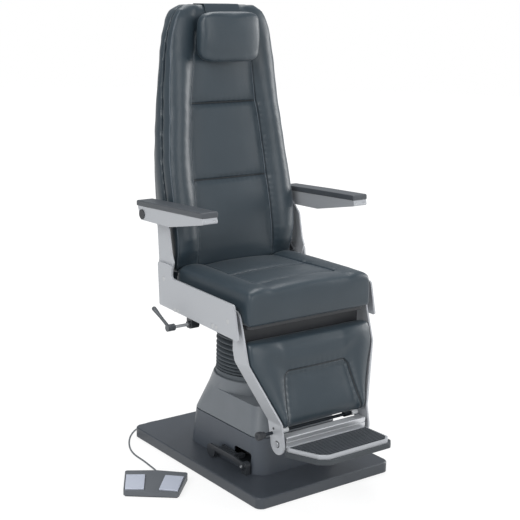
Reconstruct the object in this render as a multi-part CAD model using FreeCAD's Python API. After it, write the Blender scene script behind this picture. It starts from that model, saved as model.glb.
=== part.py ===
import FreeCAD, Part
import math
import os

V = FreeCAD.Vector

# An examination chair on a floor plate: lifting column, turning seat, reclining back,
# swinging leg rest with a folding footrest, folding arms and a wired foot switch.
# Millimetres. X to the sitter's left, the front is -Y, Z up; the origin is on the floor
# under the column's axis. Pairs of pieces are mirrored in the plane X = 0.

# Clearances
flat_gap = 0.3
run_gap = 0.05
seat_gap = 0.1
cut_over = 5.0

# Floor plate
base_width = 518.0
base_length = 720.0
base_middle_y = -17.0
base_height = 37.0
base_corner = 24.0
base_wall = 4.0
base_bevel = 3.0
base_lift = 3.0
plate_thick = 10.0
pad_radius = 25.0
pad_inset = 62.0
pad_rows = 3

# Column, its guides and the lifting actuator
lift_up = 120.0
lift_down = 80.0
flange_radius = 112.0
flange_thick = 10.0
outer_radius = 85.0
outer_wall = 6.0
outer_top = 316.0
inner_radius = 72.0
inner_wall = 5.0
inner_bottom = 138.0
head_bottom = 468.0
head_thick = 8.0
head_radius = 127.0
bush_height = 26.0
glide_height = 26.0
flange_screw_count = 6
flange_screw_circle = 99.0
screw_radius = 5.0
screw_head_radius = 8.0
screw_head_height = 6.0
actuator_radius = 32.0
actuator_top = 300.0
actuator_floor = 50.0
motor_radius = 27.0
motor_offset = 36.0
motor_top = 150.0
rod_radius = 20.0
rod_bottom = 140.0
box_width = 90.0
box_depth = 46.0
box_height = 90.0
box_middle_y = -185.0

# Pedestal covers
cover_half = 161.0
cover_foot_half = 168.0
cover_front_y = -237.0
cover_rear_y = 138.0
cover_foot_spread = 12.0
cover_corner = 46.0
cover_wall = 4.0
seam_z = 153.0
seam_gap = 4.0
lip_height = 9.0
lip_wall = 3.0
shoulder_z = 244.0
shoulder_half = 139.5
shoulder_front_y = -213.0
shoulder_rear_y = 140.0
shoulder_front_corner = 50.0
shoulder_rear_corner = 108.0
neck_foot_radius = 138.0
neck_radius = 136.0
neck_top = 285.0
collar_top = 301.0
collar_radius = 131.0
collar_inner = 100.0
collar_flange = 3.0

# Bellows
bellows_radius = 130.0
bellows_depth = 13.0
bellows_wall = 2.0
bellows_ribs = 11
bellows_first_share = 0.62
crest_share = 0.42

# Brake pedal on the right-hand side of the base
slot_front_y = -205.0
slot_rear_y = -115.0
slot_bottom = 56.0
slot_top = 100.0
slot_corner = 10.0
pedal_pivot_y = -201.0
pedal_pivot_z = 66.0
pedal_pin_radius = 5.0
pedal_head_radius = 8.0
pedal_head_thick = 4.0
pedal_bracket_x0 = 190.0
pedal_bracket_wide = 17.0
pedal_bracket_long = 26.0
pedal_bracket_cap = 13.0
pedal_arm_thick = 6.0
pedal_disc_radius = 22.0
pedal_disc_y = -30.6
pedal_disc_z = 61.5
pedal_arm_half = 11.0
pedal_arm_rise = 16.0
pedal_inner_thick = 4.0
pedal_inner_rear_y = -60.0
pedal_inner_low = 64.0
pedal_inner_top = 90.0
link_front_y = -150.0
link_rear_y = -132.0
link_low = 66.0
tread_rear_y = -66.0
tread_front_y = -147.0
tread_width = 16.0
tread_top = 83.0
tread_thick = 5.0
tread_grooves = 5
groove_wide = 3.0
groove_deep = 1.5
link_reach = 15.0
link_height = 12.0

# Foot switch
switch_x = -429.0
switch_y = -63.0
switch_turn = -38.9
switch_rear_width = 197.0
switch_front_width = 168.0
switch_depth = 134.0
switch_height = 27.0
switch_front_height = 20.0
switch_corner = 8.0
switch_kink = 10.5
switch_kink_round = 60.0
switch_well_wide = 60.0
switch_well_long = 93.0
switch_well_x = 56.0
switch_well_y = -12.0
switch_splay = 5.7
switch_base_thick = 4.0
switch_base_inset = 4.0
switch_wall = 3.0
switch_pedal_gap = 1.2
switch_pedal_thick = 6.0
switch_pedal_proud = 4.0
switch_pedal_travel = 4.0
switch_axle_radius = 3.0

# Cord
cord_diameter = 5.6
gland_x = -118.0
gland_radius = 9.0
gland_tip_radius = 4.6
gland_length = 22.0
gland_z = 17.0
relief_length = 18.0
cord_route = [
    (-120.0, 389.0, 10.5), (-139.0, 409.0, 4.0), (-174.0, 410.0, 2.8), (-219.0, 390.0, 2.8),
    (-264.0, 354.0, 2.8), (-303.0, 303.0, 2.8), (-334.0, 243.0, 2.8), (-347.0, 190.0, 2.8),
    (-347.0, 132.0, 2.8), (-352.0, 84.0, 3.0), (-359.0, 45.0, 7.0),
]

# Turning head
bearing_radius = 95.0
bearing_height = 22.0
spindle_radius = 60.0
hub_radius = 100.0
hub_thick = 8.0

# Seat frame and side plates
side_outer = 269.5
sheet = 6.0
beam_wide = 40.0
beam_high = 14.0
beam_front_y = -150.0
beam_rear_y = 60.0
rail_x = 74.0
pan_thick = 12.0
pan_inset = 18.0
pan_side_inset = 12.5
skirt_y = -226.0
skirt_bottom = 464.0
plate_top_z = 611.0
plate_front_top_z = 601.0
plate_bottom_rear_z = 511.5
plate_bottom_front_z = 496.0
plate_rear_y = 160.0
plate_rear_top_y = 171.0
upright_front_y = 93.0
upright_top_z = 652.0
plate_front_top_y = -247.0
plate_front_bottom_y = -272.0
plate_corner = 11.0
plate_inner_corner = 9.0
frame_screw_radius = 4.0
frame_screw_head = 7.0
frame_screw_thick = 3.0
frame_screw_sink = 0.2

# Seat cushion
seat_half = 238.5
seat_front_y = -280.0
seat_rear_y = 118.0
seat_bottom_z = 532.0
seat_top_z = 647.0
seat_panel_half = 152.0
seat_panel_rear_half = 138.0
seat_panel_dip = 10.0
seat_crown = 7.0
seat_seam_dip = 5.0
seat_front_seam_y = -193.0
seat_middle_seam_y = -55.0
seat_side_bulge = 4.0
seat_edge_round = 22.0
seam_reach = 13.0

# Arm posts and back hinge
back_pivot_y = 135.0
back_pivot_z = 600.0
hinge_pin_radius = 8.0
hinge_head_radius = 13.0
hinge_head_thick = 4.0
post_bottom_z = 578.0
post_lobe_y = 88.0
post_lobe_z = 660.0
post_shoulder_z = 762.0
post_shoulder_front_y = 117.0
post_shoulder_rear_y = 181.0
post_head_radius = 21.0
arm_pivot_y = 183.5
arm_pivot_z = 805.0
arm_pin_radius = 7.0

# Armrests
arm_width = 54.0
arm_wall = 3.0
arm_rear_top_y = 211.0
arm_rear_top_z = 829.0
arm_rear_bottom_y = 196.0
arm_rear_bottom_z = 786.0
arm_low_y = 28.0
arm_low_z = 790.5
arm_front_bottom_y = -156.0
arm_front_bottom_z = 828.0
arm_front_top_y = -151.0
arm_front_top_z = 846.0
arm_pad_thick = 17.0
arm_pad_rear = 5.0
arm_pad_front = 3.0
arm_pad_side = 2.0
arm_pad_round = 6.0
arm_pad_belly = 5.0
arm_boss_radius = 14.0
arm_cap_radius = 15.5
arm_cap_thick = 3.0
arm_fold = 90.0

# Clamp lever for the turning seat
lever_x = 307.0
lever_y = 35.0
lever_z = 470.0
lever_reach = 84.0
lever_rise = 34.0
lever_hub_radius = 11.0
lever_hub_length = 26.0
lever_knob_radius = 7.5
lever_neck_radius = 5.5
lever_kink = 20.0
stud_radius = 5.0
stud_tip_gap = 1.0
collar_disc_radius = 11.0
collar_disc_thick = 6.0
bracket_half_x = 238.0
lug_length = 30.0
lug_half = 15.0
lug_drop = 14.0

# Backrest
back_bottom_z = 615.0
back_top_z = 1448.0
back_half = 256.0
back_front_y = 121.0
back_lean_run = 90.0
back_front_thick = 30.0
back_rear_y = 268.0
back_rear_run = 32.0
back_panel_thick = 6.0
back_panel_low_half = 149.0
back_bolster = 30.0
back_crown = 7.0
back_seam_dip = 5.0
back_seam_shares = (0.342, 0.630, 0.8125)
back_shell_inset = 1.5
back_shell_bottom_z = 573.0
back_shell_step = 12.0
back_panel_inset = 26.0
lug_thick = 8.0
lug_root_z = 655.0
lug_foot_z = 588.0
lug_radius = 20.0
tie_setback = 1.0
tie_reach = 70.0
# along the back's height: its half width, its rake and how far the side rolls stand out
back_width_shares = [
    (0.0, 0.885), (0.06, 0.90), (0.12, 0.915), (0.2, 0.928), (0.28, 0.931), (0.35, 0.926),
    (0.43, 0.912), (0.51, 0.887), (0.59, 0.856), (0.67, 0.836), (0.75, 0.811), (0.83, 0.79),
    (0.90, 0.748), (0.95, 0.69), (0.98, 0.63), (1.0, 0.53)]
back_rake_shares = [
    (0.0, 0.0), (0.06, 0.01), (0.12, 0.045), (0.2, 0.125), (0.27, 0.26), (0.34, 0.43),
    (0.42, 0.6), (0.495, 0.725), (0.57, 0.81), (0.63, 0.9), (0.72, 0.965), (0.775, 0.98),
    (0.9, 1.0), (0.95, 1.03), (0.98, 1.09), (1.0, 1.2)]
back_roll_shares = [
    (0.0, 0.0), (0.035, 0.0), (0.08, 0.7), (0.13, 1.0), (0.6, 1.0), (0.78, 0.7), (0.84, 0.3), (1.0, 0.2)]
back_panel_shares = [
    (0.0, 1.0), (0.06, 1.0), (0.2, 0.977), (0.34, 0.963), (0.42, 0.953), (0.495, 0.926),
    (0.57, 0.886), (0.63, 0.842), (0.72, 0.792), (0.775, 0.758), (0.9, 0.7), (1.0, 0.66)]
back_rear_shares = [(0.0, 0.0), (0.1, 0.0), (0.22, 0.03), (0.34, 0.4), (0.46, 0.69), (0.58, 1.0), (1.0, 1.0)]
back_top_share = 0.6
back_row_shares = (0.035, 0.08, 0.13, 0.21, 0.28, 0.42, 0.51, 0.57, 0.70, 0.75, 0.90, 0.95, 0.98, 1.0)
back_panel_limit_share = 0.62

# Headrest
pillow_half = 115.0
pillow_height = 156.0
pillow_thick = 56.0
pillow_drop = 177.0
pillow_travel = 80.0
pillow_lean = 2.0
pillow_stand = 3.4
strap_half = 67.0
strap_thick = 2.0
strap_front_drop = 148.0
strap_rear_drop = 178.0
strap_buckle_high = 30.0
strap_buckle_thick = 5.0

# Leg rest
leg_pivot_y = -218.0
leg_pivot_z = 545.0
leg_spacer = 17.5
leg_spacer_radius = 14.0
leg_bar_half = 32.0
leg_upper_bend_y = -257.0
leg_upper_bend_z = 421.0
leg_lower_bend_y = -327.0
leg_lower_bend_z = 243.0
foot_pivot_y = -341.0
foot_pivot_z = 179.0
leg_low_outer = 170.0
leg_bend_radius = 30.0
leg_profile_corner = 4.0
leg_front_top_y = -286.0
leg_front_run = 74.0
leg_face_shares = [(0.0, 0.0), (0.18, 0.135), (0.467, 0.405), (0.686, 0.676), (0.9, 1.0), (1.0, 0.93)]
leg_cushion_top_z = 484.0
leg_cushion_bottom_z = 225.0
leg_cushion_thick = 46.0
leg_board_thick = 3.0
leg_cushion_gap = 2.5
leg_recess_top_z = 386.0
leg_recess_top_half = 122.0
leg_recess_bottom_half = 142.0
leg_recess_deep = 9.0
leg_recess_step = 12.0
leg_crown = 6.0
leg_side_pull = 4.0

# Footrest
foot_pin_radius = 6.0
foot_pin_head = 9.0
foot_pin_thick = 3.0
foot_pin_reach = 22.0
profile_half = 155.0
profile_front_y = -368.0
profile_rear_y = -327.0
profile_top_z = 205.0
profile_bottom_z = 158.0
profile_groove = 3.0
profile_groove_deep = 2.0
tray_rear_half = 156.0
tray_front_half = 135.0
tray_front_y = -515.0
tray_rear_z = 161.0
tray_tilt = 6.6
tray_thick = 13.0
tray_rim = 7.0
tray_pocket = 4.0
tray_corner = 14.0
tray_chamfer = 22.0
mat_base = 3.0
mat_rib = 3.0
mat_ribs = 12
bumper_thick = 14.0
bumper_wall = 14.0
bumper_proud = 8.0

# Lock rod behind the footrest's hinge
lock_y = -315.0
lock_z = 207.0
lock_radius = 5.0
lock_outer_x = 226.0
lock_collar_radius = 9.0
lock_left_collar = 52.0
lock_right_collar = 24.0
lock_catch_x = 122.0
lock_catch_length = 25.0
lock_catch_half = 7.0
knob_radius = 13.0
knob_length = 17.0
knob_waist = 10.0
knob_centre_radius = 5.5



# Places worked out from the sizes above
side_inner = side_outer - sheet
post_inner = side_inner - sheet
lug_outer = post_inner - flat_gap
leg_outer = side_inner - leg_spacer
arm_inner = side_inner + flat_gap
head_top = head_bottom + head_thick
bearing_top = head_top + bearing_height
hub_bottom = bearing_top + flat_gap
hub_top = hub_bottom + hub_thick
frame_top = hub_top + beam_high
pan_top = frame_top + pan_thick
base_front_y = base_middle_y - base_length / 2
base_rear_y = base_middle_y + base_length / 2
plate_top = base_height - base_wall
pillow_bottom_z = back_top_z - pillow_drop
strap_front_z = back_top_z - strap_front_drop
strap_rear_z = back_top_z - strap_rear_drop
plate_bottom = plate_top - plate_thick


def turned(shape, centre, axis, angle):
    shape = shape.copy()
    shape.rotate(centre, axis, angle)
    return shape


def moved(shape, offset):
    shape = shape.copy()
    shape.translate(offset)
    return shape


def mirrored(shape):
    return shape.mirror(V(0, 0, 0), V(1, 0, 0))


def rounded_edges(points, radii):
    """Edges of a closed outline whose corners are arcs of the given radii."""
    count = len(points)
    starts = []
    ends = []
    arcs = []
    for i in range(count):
        here = points[i]
        back = (points[i - 1] - here)
        ahead = (points[(i + 1) % count] - here)
        radius = radii[i]
        half_turn = back.getAngle(ahead) / 2
        reach = radius / math.tan(half_turn)
        reach = min(reach, back.Length * 0.49, ahead.Length * 0.49)
        radius = reach * math.tan(half_turn)
        back.normalize()
        ahead.normalize()
        first = here + back * reach
        last = here + ahead * reach
        middle_way = back + ahead
        starts.append(first)
        ends.append(last)
        if radius > run_gap and middle_way.Length > 0:
            middle_way.normalize()
            centre = here + middle_way * (radius / math.sin(half_turn))
            arcs.append(Part.Arc(first, centre - middle_way * radius, last).toShape())
        else:
            arcs.append(None)
    edges = []
    for i in range(count):
        if arcs[i] is not None:
            edges.append(arcs[i])
        start = ends[i]
        finish = starts[(i + 1) % count]
        if (finish - start).Length > run_gap / 10:
            edges.append(Part.LineSegment(start, finish).toShape())
    return edges


def outline(points, radii):
    if not isinstance(radii, (list, tuple)):
        radii = [radii] * len(points)
    return Part.Wire(rounded_edges(points, radii))


def plate_along_x(yz, radii, x0, x1):
    wire = outline([V(x0, y, z) for y, z in yz], radii)
    return Part.Face(wire).extrude(V(x1 - x0, 0, 0))


def plate_along_z(xy, radii, z0, z1):
    wire = outline([V(x, y, z0) for x, y in xy], radii)
    return Part.Face(wire).extrude(V(0, 0, z1 - z0))


def rod(radius, start, direction, length):
    return Part.makeCylinder(radius, length, start, direction)


def rod_x(radius, x0, x1, y, z):
    return rod(radius, V(min(x0, x1), y, z), V(1, 0, 0), abs(x1 - x0))


def ring(outer, inner, z0, z1):
    solid = rod(outer, V(0, 0, z0), V(0, 0, 1), z1 - z0)
    return solid.cut(rod(inner, V(0, 0, z0 - cut_over), V(0, 0, 1), z1 - z0 + 2 * cut_over))


def rectangle(half, front, rear):
    return [(-half, front), (half, front), (half, rear), (-half, rear)]


def loft(wires, ruled=True):
    return Part.makeLoft(wires, True, ruled)


def flat_wire(xy, radii, z):
    return outline([V(x, y, z) for x, y in xy], radii)


def save(name, shape):
    solids = shape.Solids
    if not solids or not shape.isValid():
        print("check", name, "valid", shape.isValid(), "solids", len(solids))
    if len(solids) == 1:
        shape = solids[0]
    else:
        shape = Part.makeCompound(solids)
    shape.exportStep("parts/" + name + ".step")


# Floor plate
def base_cover():
    half = base_width / 2
    low = flat_wire(rectangle(half, base_front_y, base_rear_y), base_corner, base_lift)
    edge = base_height - base_bevel
    high = flat_wire(rectangle(half, base_front_y, base_rear_y), base_corner, edge)
    inset = base_bevel
    top_corners = rectangle(half - inset, base_front_y + inset, base_rear_y - inset)
    top = flat_wire(top_corners, base_corner - inset, base_height)
    body = loft([low, high, top])
    inside = rectangle(half - base_wall, base_front_y + base_wall, base_rear_y - base_wall)
    inside_corner = base_corner - base_wall
    hollow = plate_along_z(inside, inside_corner, base_lift - cut_over, edge - base_wall)
    roof = rectangle(half - 2 * inset, base_front_y + 2 * inset, base_rear_y - 2 * inset)
    hollow = hollow.fuse(plate_along_z(roof, inside_corner, edge - base_wall - cut_over, plate_top))
    opening = rod(flange_radius + flat_gap, V(0, 0, 0), V(0, 0, 1), base_height + cut_over)
    cable_hole = rod(gland_radius - 2 * flat_gap, V(gland_x, base_rear_y - 4 * base_wall, gland_z),
                     V(0, 1, 0), 4 * base_wall + cut_over)
    return body.cut(hollow).cut(opening).cut(cable_hole)


def flange_places():
    places = []
    for i in range(flange_screw_count):
        angle = 2 * math.pi * (i + 1 / 2) / flange_screw_count
        places.append((flange_screw_circle * math.cos(angle), flange_screw_circle * math.sin(angle)))
    return places


def base_plate():
    inset = 2 * base_bevel + flat_gap
    corners = rectangle(base_width / 2 - inset, base_front_y + inset, base_rear_y - inset)
    plate = plate_along_z(corners, base_corner - base_bevel, plate_bottom, plate_top)
    for x, y in flange_places():
        hole = rod(screw_radius + seat_gap, V(x, y, plate_bottom - cut_over), V(0, 0, 1),
                   plate_thick + 2 * cut_over)
        plate = plate.cut(hole)
    return plate


def floor_pads():
    pads = [rod(pad_radius, V(0, 0, 0), V(0, 0, 1), plate_bottom)]
    for side in (-1, 1):
        for row in range(pad_rows):
            span = base_length - 2 * pad_inset
            y = base_front_y + pad_inset + span * row / (pad_rows - 1)
            place = V(side * (base_width / 2 - pad_inset), y, 0)
            pads.append(rod(pad_radius, place, V(0, 0, 1), plate_bottom))
    return Part.makeCompound(pads)


# Column
def outer_column():
    tube = ring(outer_radius, outer_radius - outer_wall, plate_top, outer_top)
    flange = ring(flange_radius, outer_radius - outer_wall, plate_top, plate_top + flange_thick)
    column = tube.fuse(flange)
    for x, y in flange_places():
        column = column.cut(rod(screw_radius + seat_gap, V(x, y, plate_top - cut_over),
                                V(0, 0, 1), flange_thick + 2 * cut_over))
    return column.removeSplitter()


def column_screws():
    screws = []
    for x, y in flange_places():
        seat_z = plate_top + flange_thick
        shank = rod(screw_radius, V(x, y, plate_bottom), V(0, 0, 1), seat_z - plate_bottom)
        head = rod(screw_head_radius, V(x, y, seat_z), V(0, 0, 1), screw_head_height)
        socket = rod(screw_radius / 2, V(x, y, seat_z + screw_head_height / 2), V(0, 0, 1),
                     screw_head_height)
        screws.append(shank.fuse(head).cut(socket))
    return Part.makeCompound(screws)


def column_bush():
    bore = outer_radius - outer_wall
    return ring(bore - seat_gap, inner_radius + run_gap, outer_top - bush_height, outer_top)


def column_glide():
    bore = outer_radius - outer_wall
    return ring(bore - run_gap, inner_radius + seat_gap, inner_bottom, inner_bottom + glide_height)


def inner_column():
    tube = ring(inner_radius, inner_radius - inner_wall, inner_bottom, head_bottom)
    head = rod(head_radius, V(0, 0, head_bottom), V(0, 0, 1), head_thick)
    return tube.fuse(head).removeSplitter()


def lift_actuator():
    housing = rod(actuator_radius, V(0, 0, plate_top), V(0, 0, 1), actuator_top - plate_top)
    motor = rod(motor_radius, V(motor_offset, 0, plate_top), V(0, 0, 1), motor_top - plate_top)
    bore = rod(rod_radius + run_gap, V(0, 0, actuator_floor), V(0, 0, 1), actuator_top)
    return housing.fuse(motor).cut(bore).removeSplitter()


def lift_rod():
    return rod(rod_radius, V(0, 0, rod_bottom), V(0, 0, 1), head_bottom - rod_bottom)


def control_box():
    corners = rectangle(box_width / 2, box_middle_y - box_depth / 2, box_middle_y + box_depth / 2)
    return plate_along_z(corners, cover_wall, base_height, base_height + box_height)


# Pedestal covers
def cover_loop(half, front, rear, front_corner, rear_corner, inset, z):
    corners = rectangle(half - inset, front + inset, rear - inset)
    radii = [front_corner - inset, front_corner - inset, rear_corner - inset, rear_corner - inset]
    return flat_wire(corners, radii, z)


def lower_skin(inset, low, high):
    foot_front = cover_front_y - cover_foot_spread
    foot_rear = cover_rear_y + cover_foot_spread
    wires = [
        cover_loop(cover_foot_half, foot_front, foot_rear, cover_corner, cover_corner, inset, low),
        cover_loop(cover_half, cover_front_y, cover_rear_y, cover_corner, cover_corner, inset, high),
    ]
    return loft(wires)


def pedal_slot():
    yz = [(slot_front_y, slot_bottom), (slot_rear_y, slot_bottom),
          (slot_rear_y, slot_top), (slot_front_y, slot_top)]
    return plate_along_x(yz, slot_corner, -cover_foot_half - cut_over, -cover_half + cover_corner)


def lower_cover():
    shell = lower_skin(0, base_height, seam_z).cut(lower_skin(cover_wall, base_height, seam_z))
    return shell.cut(pedal_slot())


def upper_skin(inset, low):
    wires = [
        cover_loop(cover_half, cover_front_y, cover_rear_y, cover_corner, cover_corner, inset, low),
        cover_loop(shoulder_half, shoulder_front_y, shoulder_rear_y,
                   shoulder_front_corner, shoulder_rear_corner, inset, shoulder_z - inset),
    ]
    body = loft(wires)
    cone_low = shoulder_z - 2 * cover_wall
    cone = Part.makeCone(neck_foot_radius - inset, neck_radius - inset, neck_top - cone_low,
                         V(0, 0, cone_low))
    flank_front = shoulder_rear_y - shoulder_rear_corner / 0.48
    flank_corner = shoulder_rear_corner
    neck_corner = neck_radius * 0.97
    flank = loft([
        cover_loop(shoulder_half, flank_front, shoulder_rear_y, flank_corner, flank_corner,
                   inset, shoulder_z - inset),
        cover_loop(neck_radius - run_gap, -neck_radius, neck_radius - run_gap, neck_corner, neck_corner,
                   inset, neck_top),
    ])
    return body.fuse(cone).fuse(flank)


def upper_cover():
    low = seam_z + seam_gap
    shell = upper_skin(0, low)
    hollow = upper_skin(cover_wall, low)
    shell = shell.cut(hollow)
    lip_inset = cover_wall + flat_gap
    lip_low = low - seam_gap - lip_height
    lip_out = loft([
        cover_loop(cover_half, cover_front_y, cover_rear_y, cover_corner, cover_corner, lip_inset, z)
        for z in (lip_low, low + lip_wall)])
    lip_in = loft([
        cover_loop(cover_half, cover_front_y, cover_rear_y, cover_corner, cover_corner,
                   lip_inset + lip_wall, z)
        for z in (lip_low - cut_over, low + lip_wall + cut_over)])
    shell = shell.fuse(lip_out.cut(lip_in))
    return shell.removeSplitter()


def bellows_collar():
    sleeve = ring(collar_radius, collar_inner, neck_top, collar_top)
    flange = ring(neck_radius, collar_inner, neck_top, neck_top + collar_flange)
    return sleeve.fuse(flange).removeSplitter()


# Bellows: ribs grow wider apart towards the top
def bellows():
    low = collar_top
    high = head_bottom
    weights = [bellows_first_share + (1 - bellows_first_share) * i * 2 / (bellows_ribs - 1)
               for i in range(bellows_ribs)]
    scale = (high - low) / sum(weights)
    crest = bellows_radius
    valley = bellows_radius - bellows_depth
    outer_rings = []
    inner_rings = []
    z = low
    for i in range(bellows_ribs):
        pitch = weights[i] * scale
        shares = ((0, valley), ((1 - crest_share) / 2, crest),
                  ((1 + crest_share) / 2, crest))
        for share, radius in shares:
            outer_rings.append((z + pitch * share, radius))
            inner_rings.append((z + pitch * share, radius - bellows_wall))
        z = z + pitch
    outer_rings.append((high, valley))
    inner_rings.append((high, valley - bellows_wall))

    def stack(rings):
        wires = []
        for height, radius in rings:
            circle = Part.Circle(V(0, 0, height), V(0, 0, 1), radius)
            wires.append(Part.Wire(circle.toShape()))
        return loft(wires)

    return stack(outer_rings).cut(stack(inner_rings))


# Brake pedal
def pedal_bracket():
    y0 = pedal_pivot_y - pedal_bracket_long / 2
    y1 = pedal_pivot_y + pedal_bracket_long / 2
    top = pedal_pivot_z + pedal_bracket_cap
    yz = [(y0, base_height), (y1, base_height), (y1, top), (y0, top)]
    radii = [0, 0, pedal_bracket_cap, pedal_bracket_cap]
    x0 = -pedal_bracket_x0
    body = plate_along_x(yz, radii, x0, x0 + pedal_bracket_wide)
    return body.fuse(pedal_pin()).removeSplitter()


def pedal_pin():
    inner_x = -pedal_bracket_x0 + pedal_bracket_wide / 2
    outer_x = -pedal_bracket_x0 - pedal_arm_thick - 2 * flat_gap
    shank = rod_x(pedal_pin_radius, inner_x, outer_x, pedal_pivot_y, pedal_pivot_z)
    head = rod_x(pedal_head_radius, outer_x - pedal_head_thick, outer_x, pedal_pivot_y, pedal_pivot_z)
    return shank.fuse(head).removeSplitter()


def brake_pedal():
    x1 = -pedal_bracket_x0 - flat_gap
    x0 = x1 - pedal_arm_thick
    half = pedal_arm_half
    knee = pedal_disc_y + pedal_disc_radius / 4
    yz = [(pedal_pivot_y - half, pedal_pivot_z - half), (tread_front_y, link_low),
          (knee, link_low), (knee, tread_top), (tread_front_y, tread_top),
          (pedal_pivot_y - half, pedal_pivot_z + half)]
    arm = plate_along_x(yz, [half * 0.9, 0, 0, 0, 0, half * 0.9], x0, x1)
    disc = rod_x(pedal_disc_radius, x0 - flat_gap, x1, pedal_disc_y, pedal_disc_z)
    tread = Part.makeBox(tread_width, tread_rear_y - tread_front_y, tread_thick,
                         V(x1, tread_front_y, tread_top - tread_thick))
    for i in range(tread_grooves):
        y = tread_front_y + (tread_rear_y - tread_front_y) * (i + 1) / (tread_grooves + 1)
        tread = tread.cut(Part.makeBox(tread_width + 2 * cut_over, groove_wide, groove_deep + cut_over,
                                       V(x1 - cut_over, y - groove_wide / 2, tread_top - groove_deep)))
    inner_x = x1 + tread_width
    inner_yz = [(tread_front_y, pedal_inner_low), (pedal_inner_rear_y, pedal_inner_low),
                (pedal_inner_rear_y, pedal_inner_top), (tread_front_y, tread_top)]
    inner = plate_along_x(inner_yz, [0, half, half, 0], inner_x, inner_x + pedal_inner_thick)
    link = Part.makeBox(-cover_half + link_reach - inner_x, link_rear_y - link_front_y,
                        tread_top - tread_thick - link_low, V(inner_x, link_front_y, link_low))
    pedal = arm.fuse([disc, tread, inner, link]).removeSplitter()
    bore = rod_x(pedal_pin_radius + run_gap, x0 - cut_over, x1 + cut_over, pedal_pivot_y, pedal_pivot_z)
    return pedal.cut(bore)


# Foot switch, built square and then turned into place
def placed_switch(shape):
    shape = turned(shape, V(0, 0, 0), V(0, 0, 1), switch_turn)
    return moved(shape, V(switch_x, switch_y, 0))


def switch_outline(inset):
    front = -switch_depth / 2 + inset
    rear = switch_depth / 2 - inset
    front_half = switch_front_width / 2 - inset
    rear_half = switch_rear_width / 2 - inset
    return [(-front_half, front), (front_half, front), (rear_half, rear), (0, rear + switch_kink),
            (-rear_half, rear)]


def switch_radii(inset):
    corner = switch_corner - inset
    return [corner, corner, corner, switch_kink_round, corner]


def placed_well(shape, side):
    """A shape built about a well's middle, splayed and set into the switch."""
    shape = turned(shape, V(0, 0, 0), V(0, 0, 1), -side * switch_splay)
    return placed_switch(moved(shape, V(side * switch_well_x, switch_well_y, 0)))


def switch_housing():
    body = plate_along_z(switch_outline(0), switch_radii(0), switch_base_thick, switch_height)
    drop = switch_height - switch_front_height
    slope = math.degrees(math.atan(drop / switch_depth))
    knife = Part.makeBox(2 * switch_rear_width, 2 * switch_depth, switch_height,
                         V(-switch_rear_width, -switch_depth, 0))
    knife = turned(knife, V(0, 0, 0), V(1, 0, 0), slope)
    knife = moved(knife, V(0, 0, switch_height - drop / 2))
    body = body.cut(knife)
    inner = plate_along_z(switch_outline(switch_wall), switch_radii(switch_wall),
                          0, switch_front_height - 2 * switch_wall - drop / 2)
    body = body.cut(inner)
    port = rod(cord_diameter / 2 + seat_gap, V(0, switch_depth / 2, switch_port_z()),
               V(0, 1, 0), 2 * switch_kink)
    body = placed_switch(body.cut(port))
    for side in (-1, 1):
        well = Part.makeBox(switch_well_wide, switch_well_long, switch_height,
                            V(-switch_well_wide / 2, -switch_well_long / 2, switch_base_thick))
        body = body.cut(placed_well(well, side))
    return body


def switch_port_z():
    return switch_base_thick + switch_wall + cord_diameter / 2


def switch_base():
    plate = plate_along_z(switch_outline(switch_base_inset), switch_radii(switch_base_inset),
                          0, switch_base_thick)
    return placed_switch(plate)


def switch_pedal(side):
    half = switch_well_wide / 2 - switch_pedal_gap
    top = switch_height + switch_pedal_proud
    thick = switch_pedal_thick
    front_top = switch_front_height + switch_pedal_proud
    y_rear = switch_well_long / 2 - switch_pedal_gap
    yz = [(-y_rear, front_top - thick), (y_rear, top - thick), (y_rear, top), (-y_rear, front_top)]
    pad = plate_along_x(yz, [0, 0, thick / 3, thick / 3], -half, half)
    axle_y = y_rear - 2 * switch_axle_radius
    axle_z = top - thick - switch_axle_radius
    reach = half + switch_pedal_gap / 2
    axle = rod_x(switch_axle_radius, -reach, reach, axle_y, axle_z)
    rib = Part.makeBox(half, 2 * switch_axle_radius, thick + switch_axle_radius - run_gap,
                       V(-half / 2, axle_y - switch_axle_radius, axle_z))
    return placed_well(pad.fuse([axle, rib]).removeSplitter(), side)


# Cord: straight runs joined by tangent arcs
def cord_points():
    rear = switch_depth / 2 + switch_kink
    port = placed_switch(Part.Vertex(0, rear, switch_port_z())).Point
    ahead = placed_switch(Part.Vertex(0, rear + relief_length, switch_port_z())).Point
    start = V(gland_x, base_rear_y + gland_length, gland_z)
    points = [start] + [V(*p) for p in cord_route] + [ahead, port]
    return points


def cord_path():
    points = cord_points()
    edges = []
    cursor = points[0]
    length = 0
    smallest = None
    for i in range(1, len(points) - 1):
        back = points[i - 1] - points[i]
        ahead = points[i + 1] - points[i]
        turn = math.pi - back.getAngle(ahead)
        reach = 0.45 * min(back.Length, ahead.Length)
        radius = reach / math.tan(turn / 2)
        smallest = radius if smallest is None else min(smallest, radius)
        back.normalize()
        ahead.normalize()
        first = points[i] + back * reach
        last = points[i] + ahead * reach
        way = back + ahead
        way.normalize()
        centre = points[i] + way * (radius / math.cos(turn / 2))
        edges.append(Part.LineSegment(cursor, first).toShape())
        edges.append(Part.Arc(first, centre - way * radius, last).toShape())
        cursor = last
    edges.append(Part.LineSegment(cursor, points[-1]).toShape())
    length = sum(edge.Length for edge in edges)
    print("cord length", round(length, 1), "smallest radius", round(smallest, 1))
    return Part.Wire(edges), length


def switch_cord():
    path, length = cord_path()
    start = path.Edges[0].Vertexes[0].Point
    heading = path.Edges[0].tangentAt(0)
    section = Part.Wire(Part.Circle(start, heading, cord_diameter / 2).toShape())
    tube = path.makePipeShell([section], True, False)
    wanted = math.pi * cord_diameter ** 2 / 4 * length
    print("cord volume over section times length", round(tube.Volume / wanted, 4))
    return tube


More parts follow.
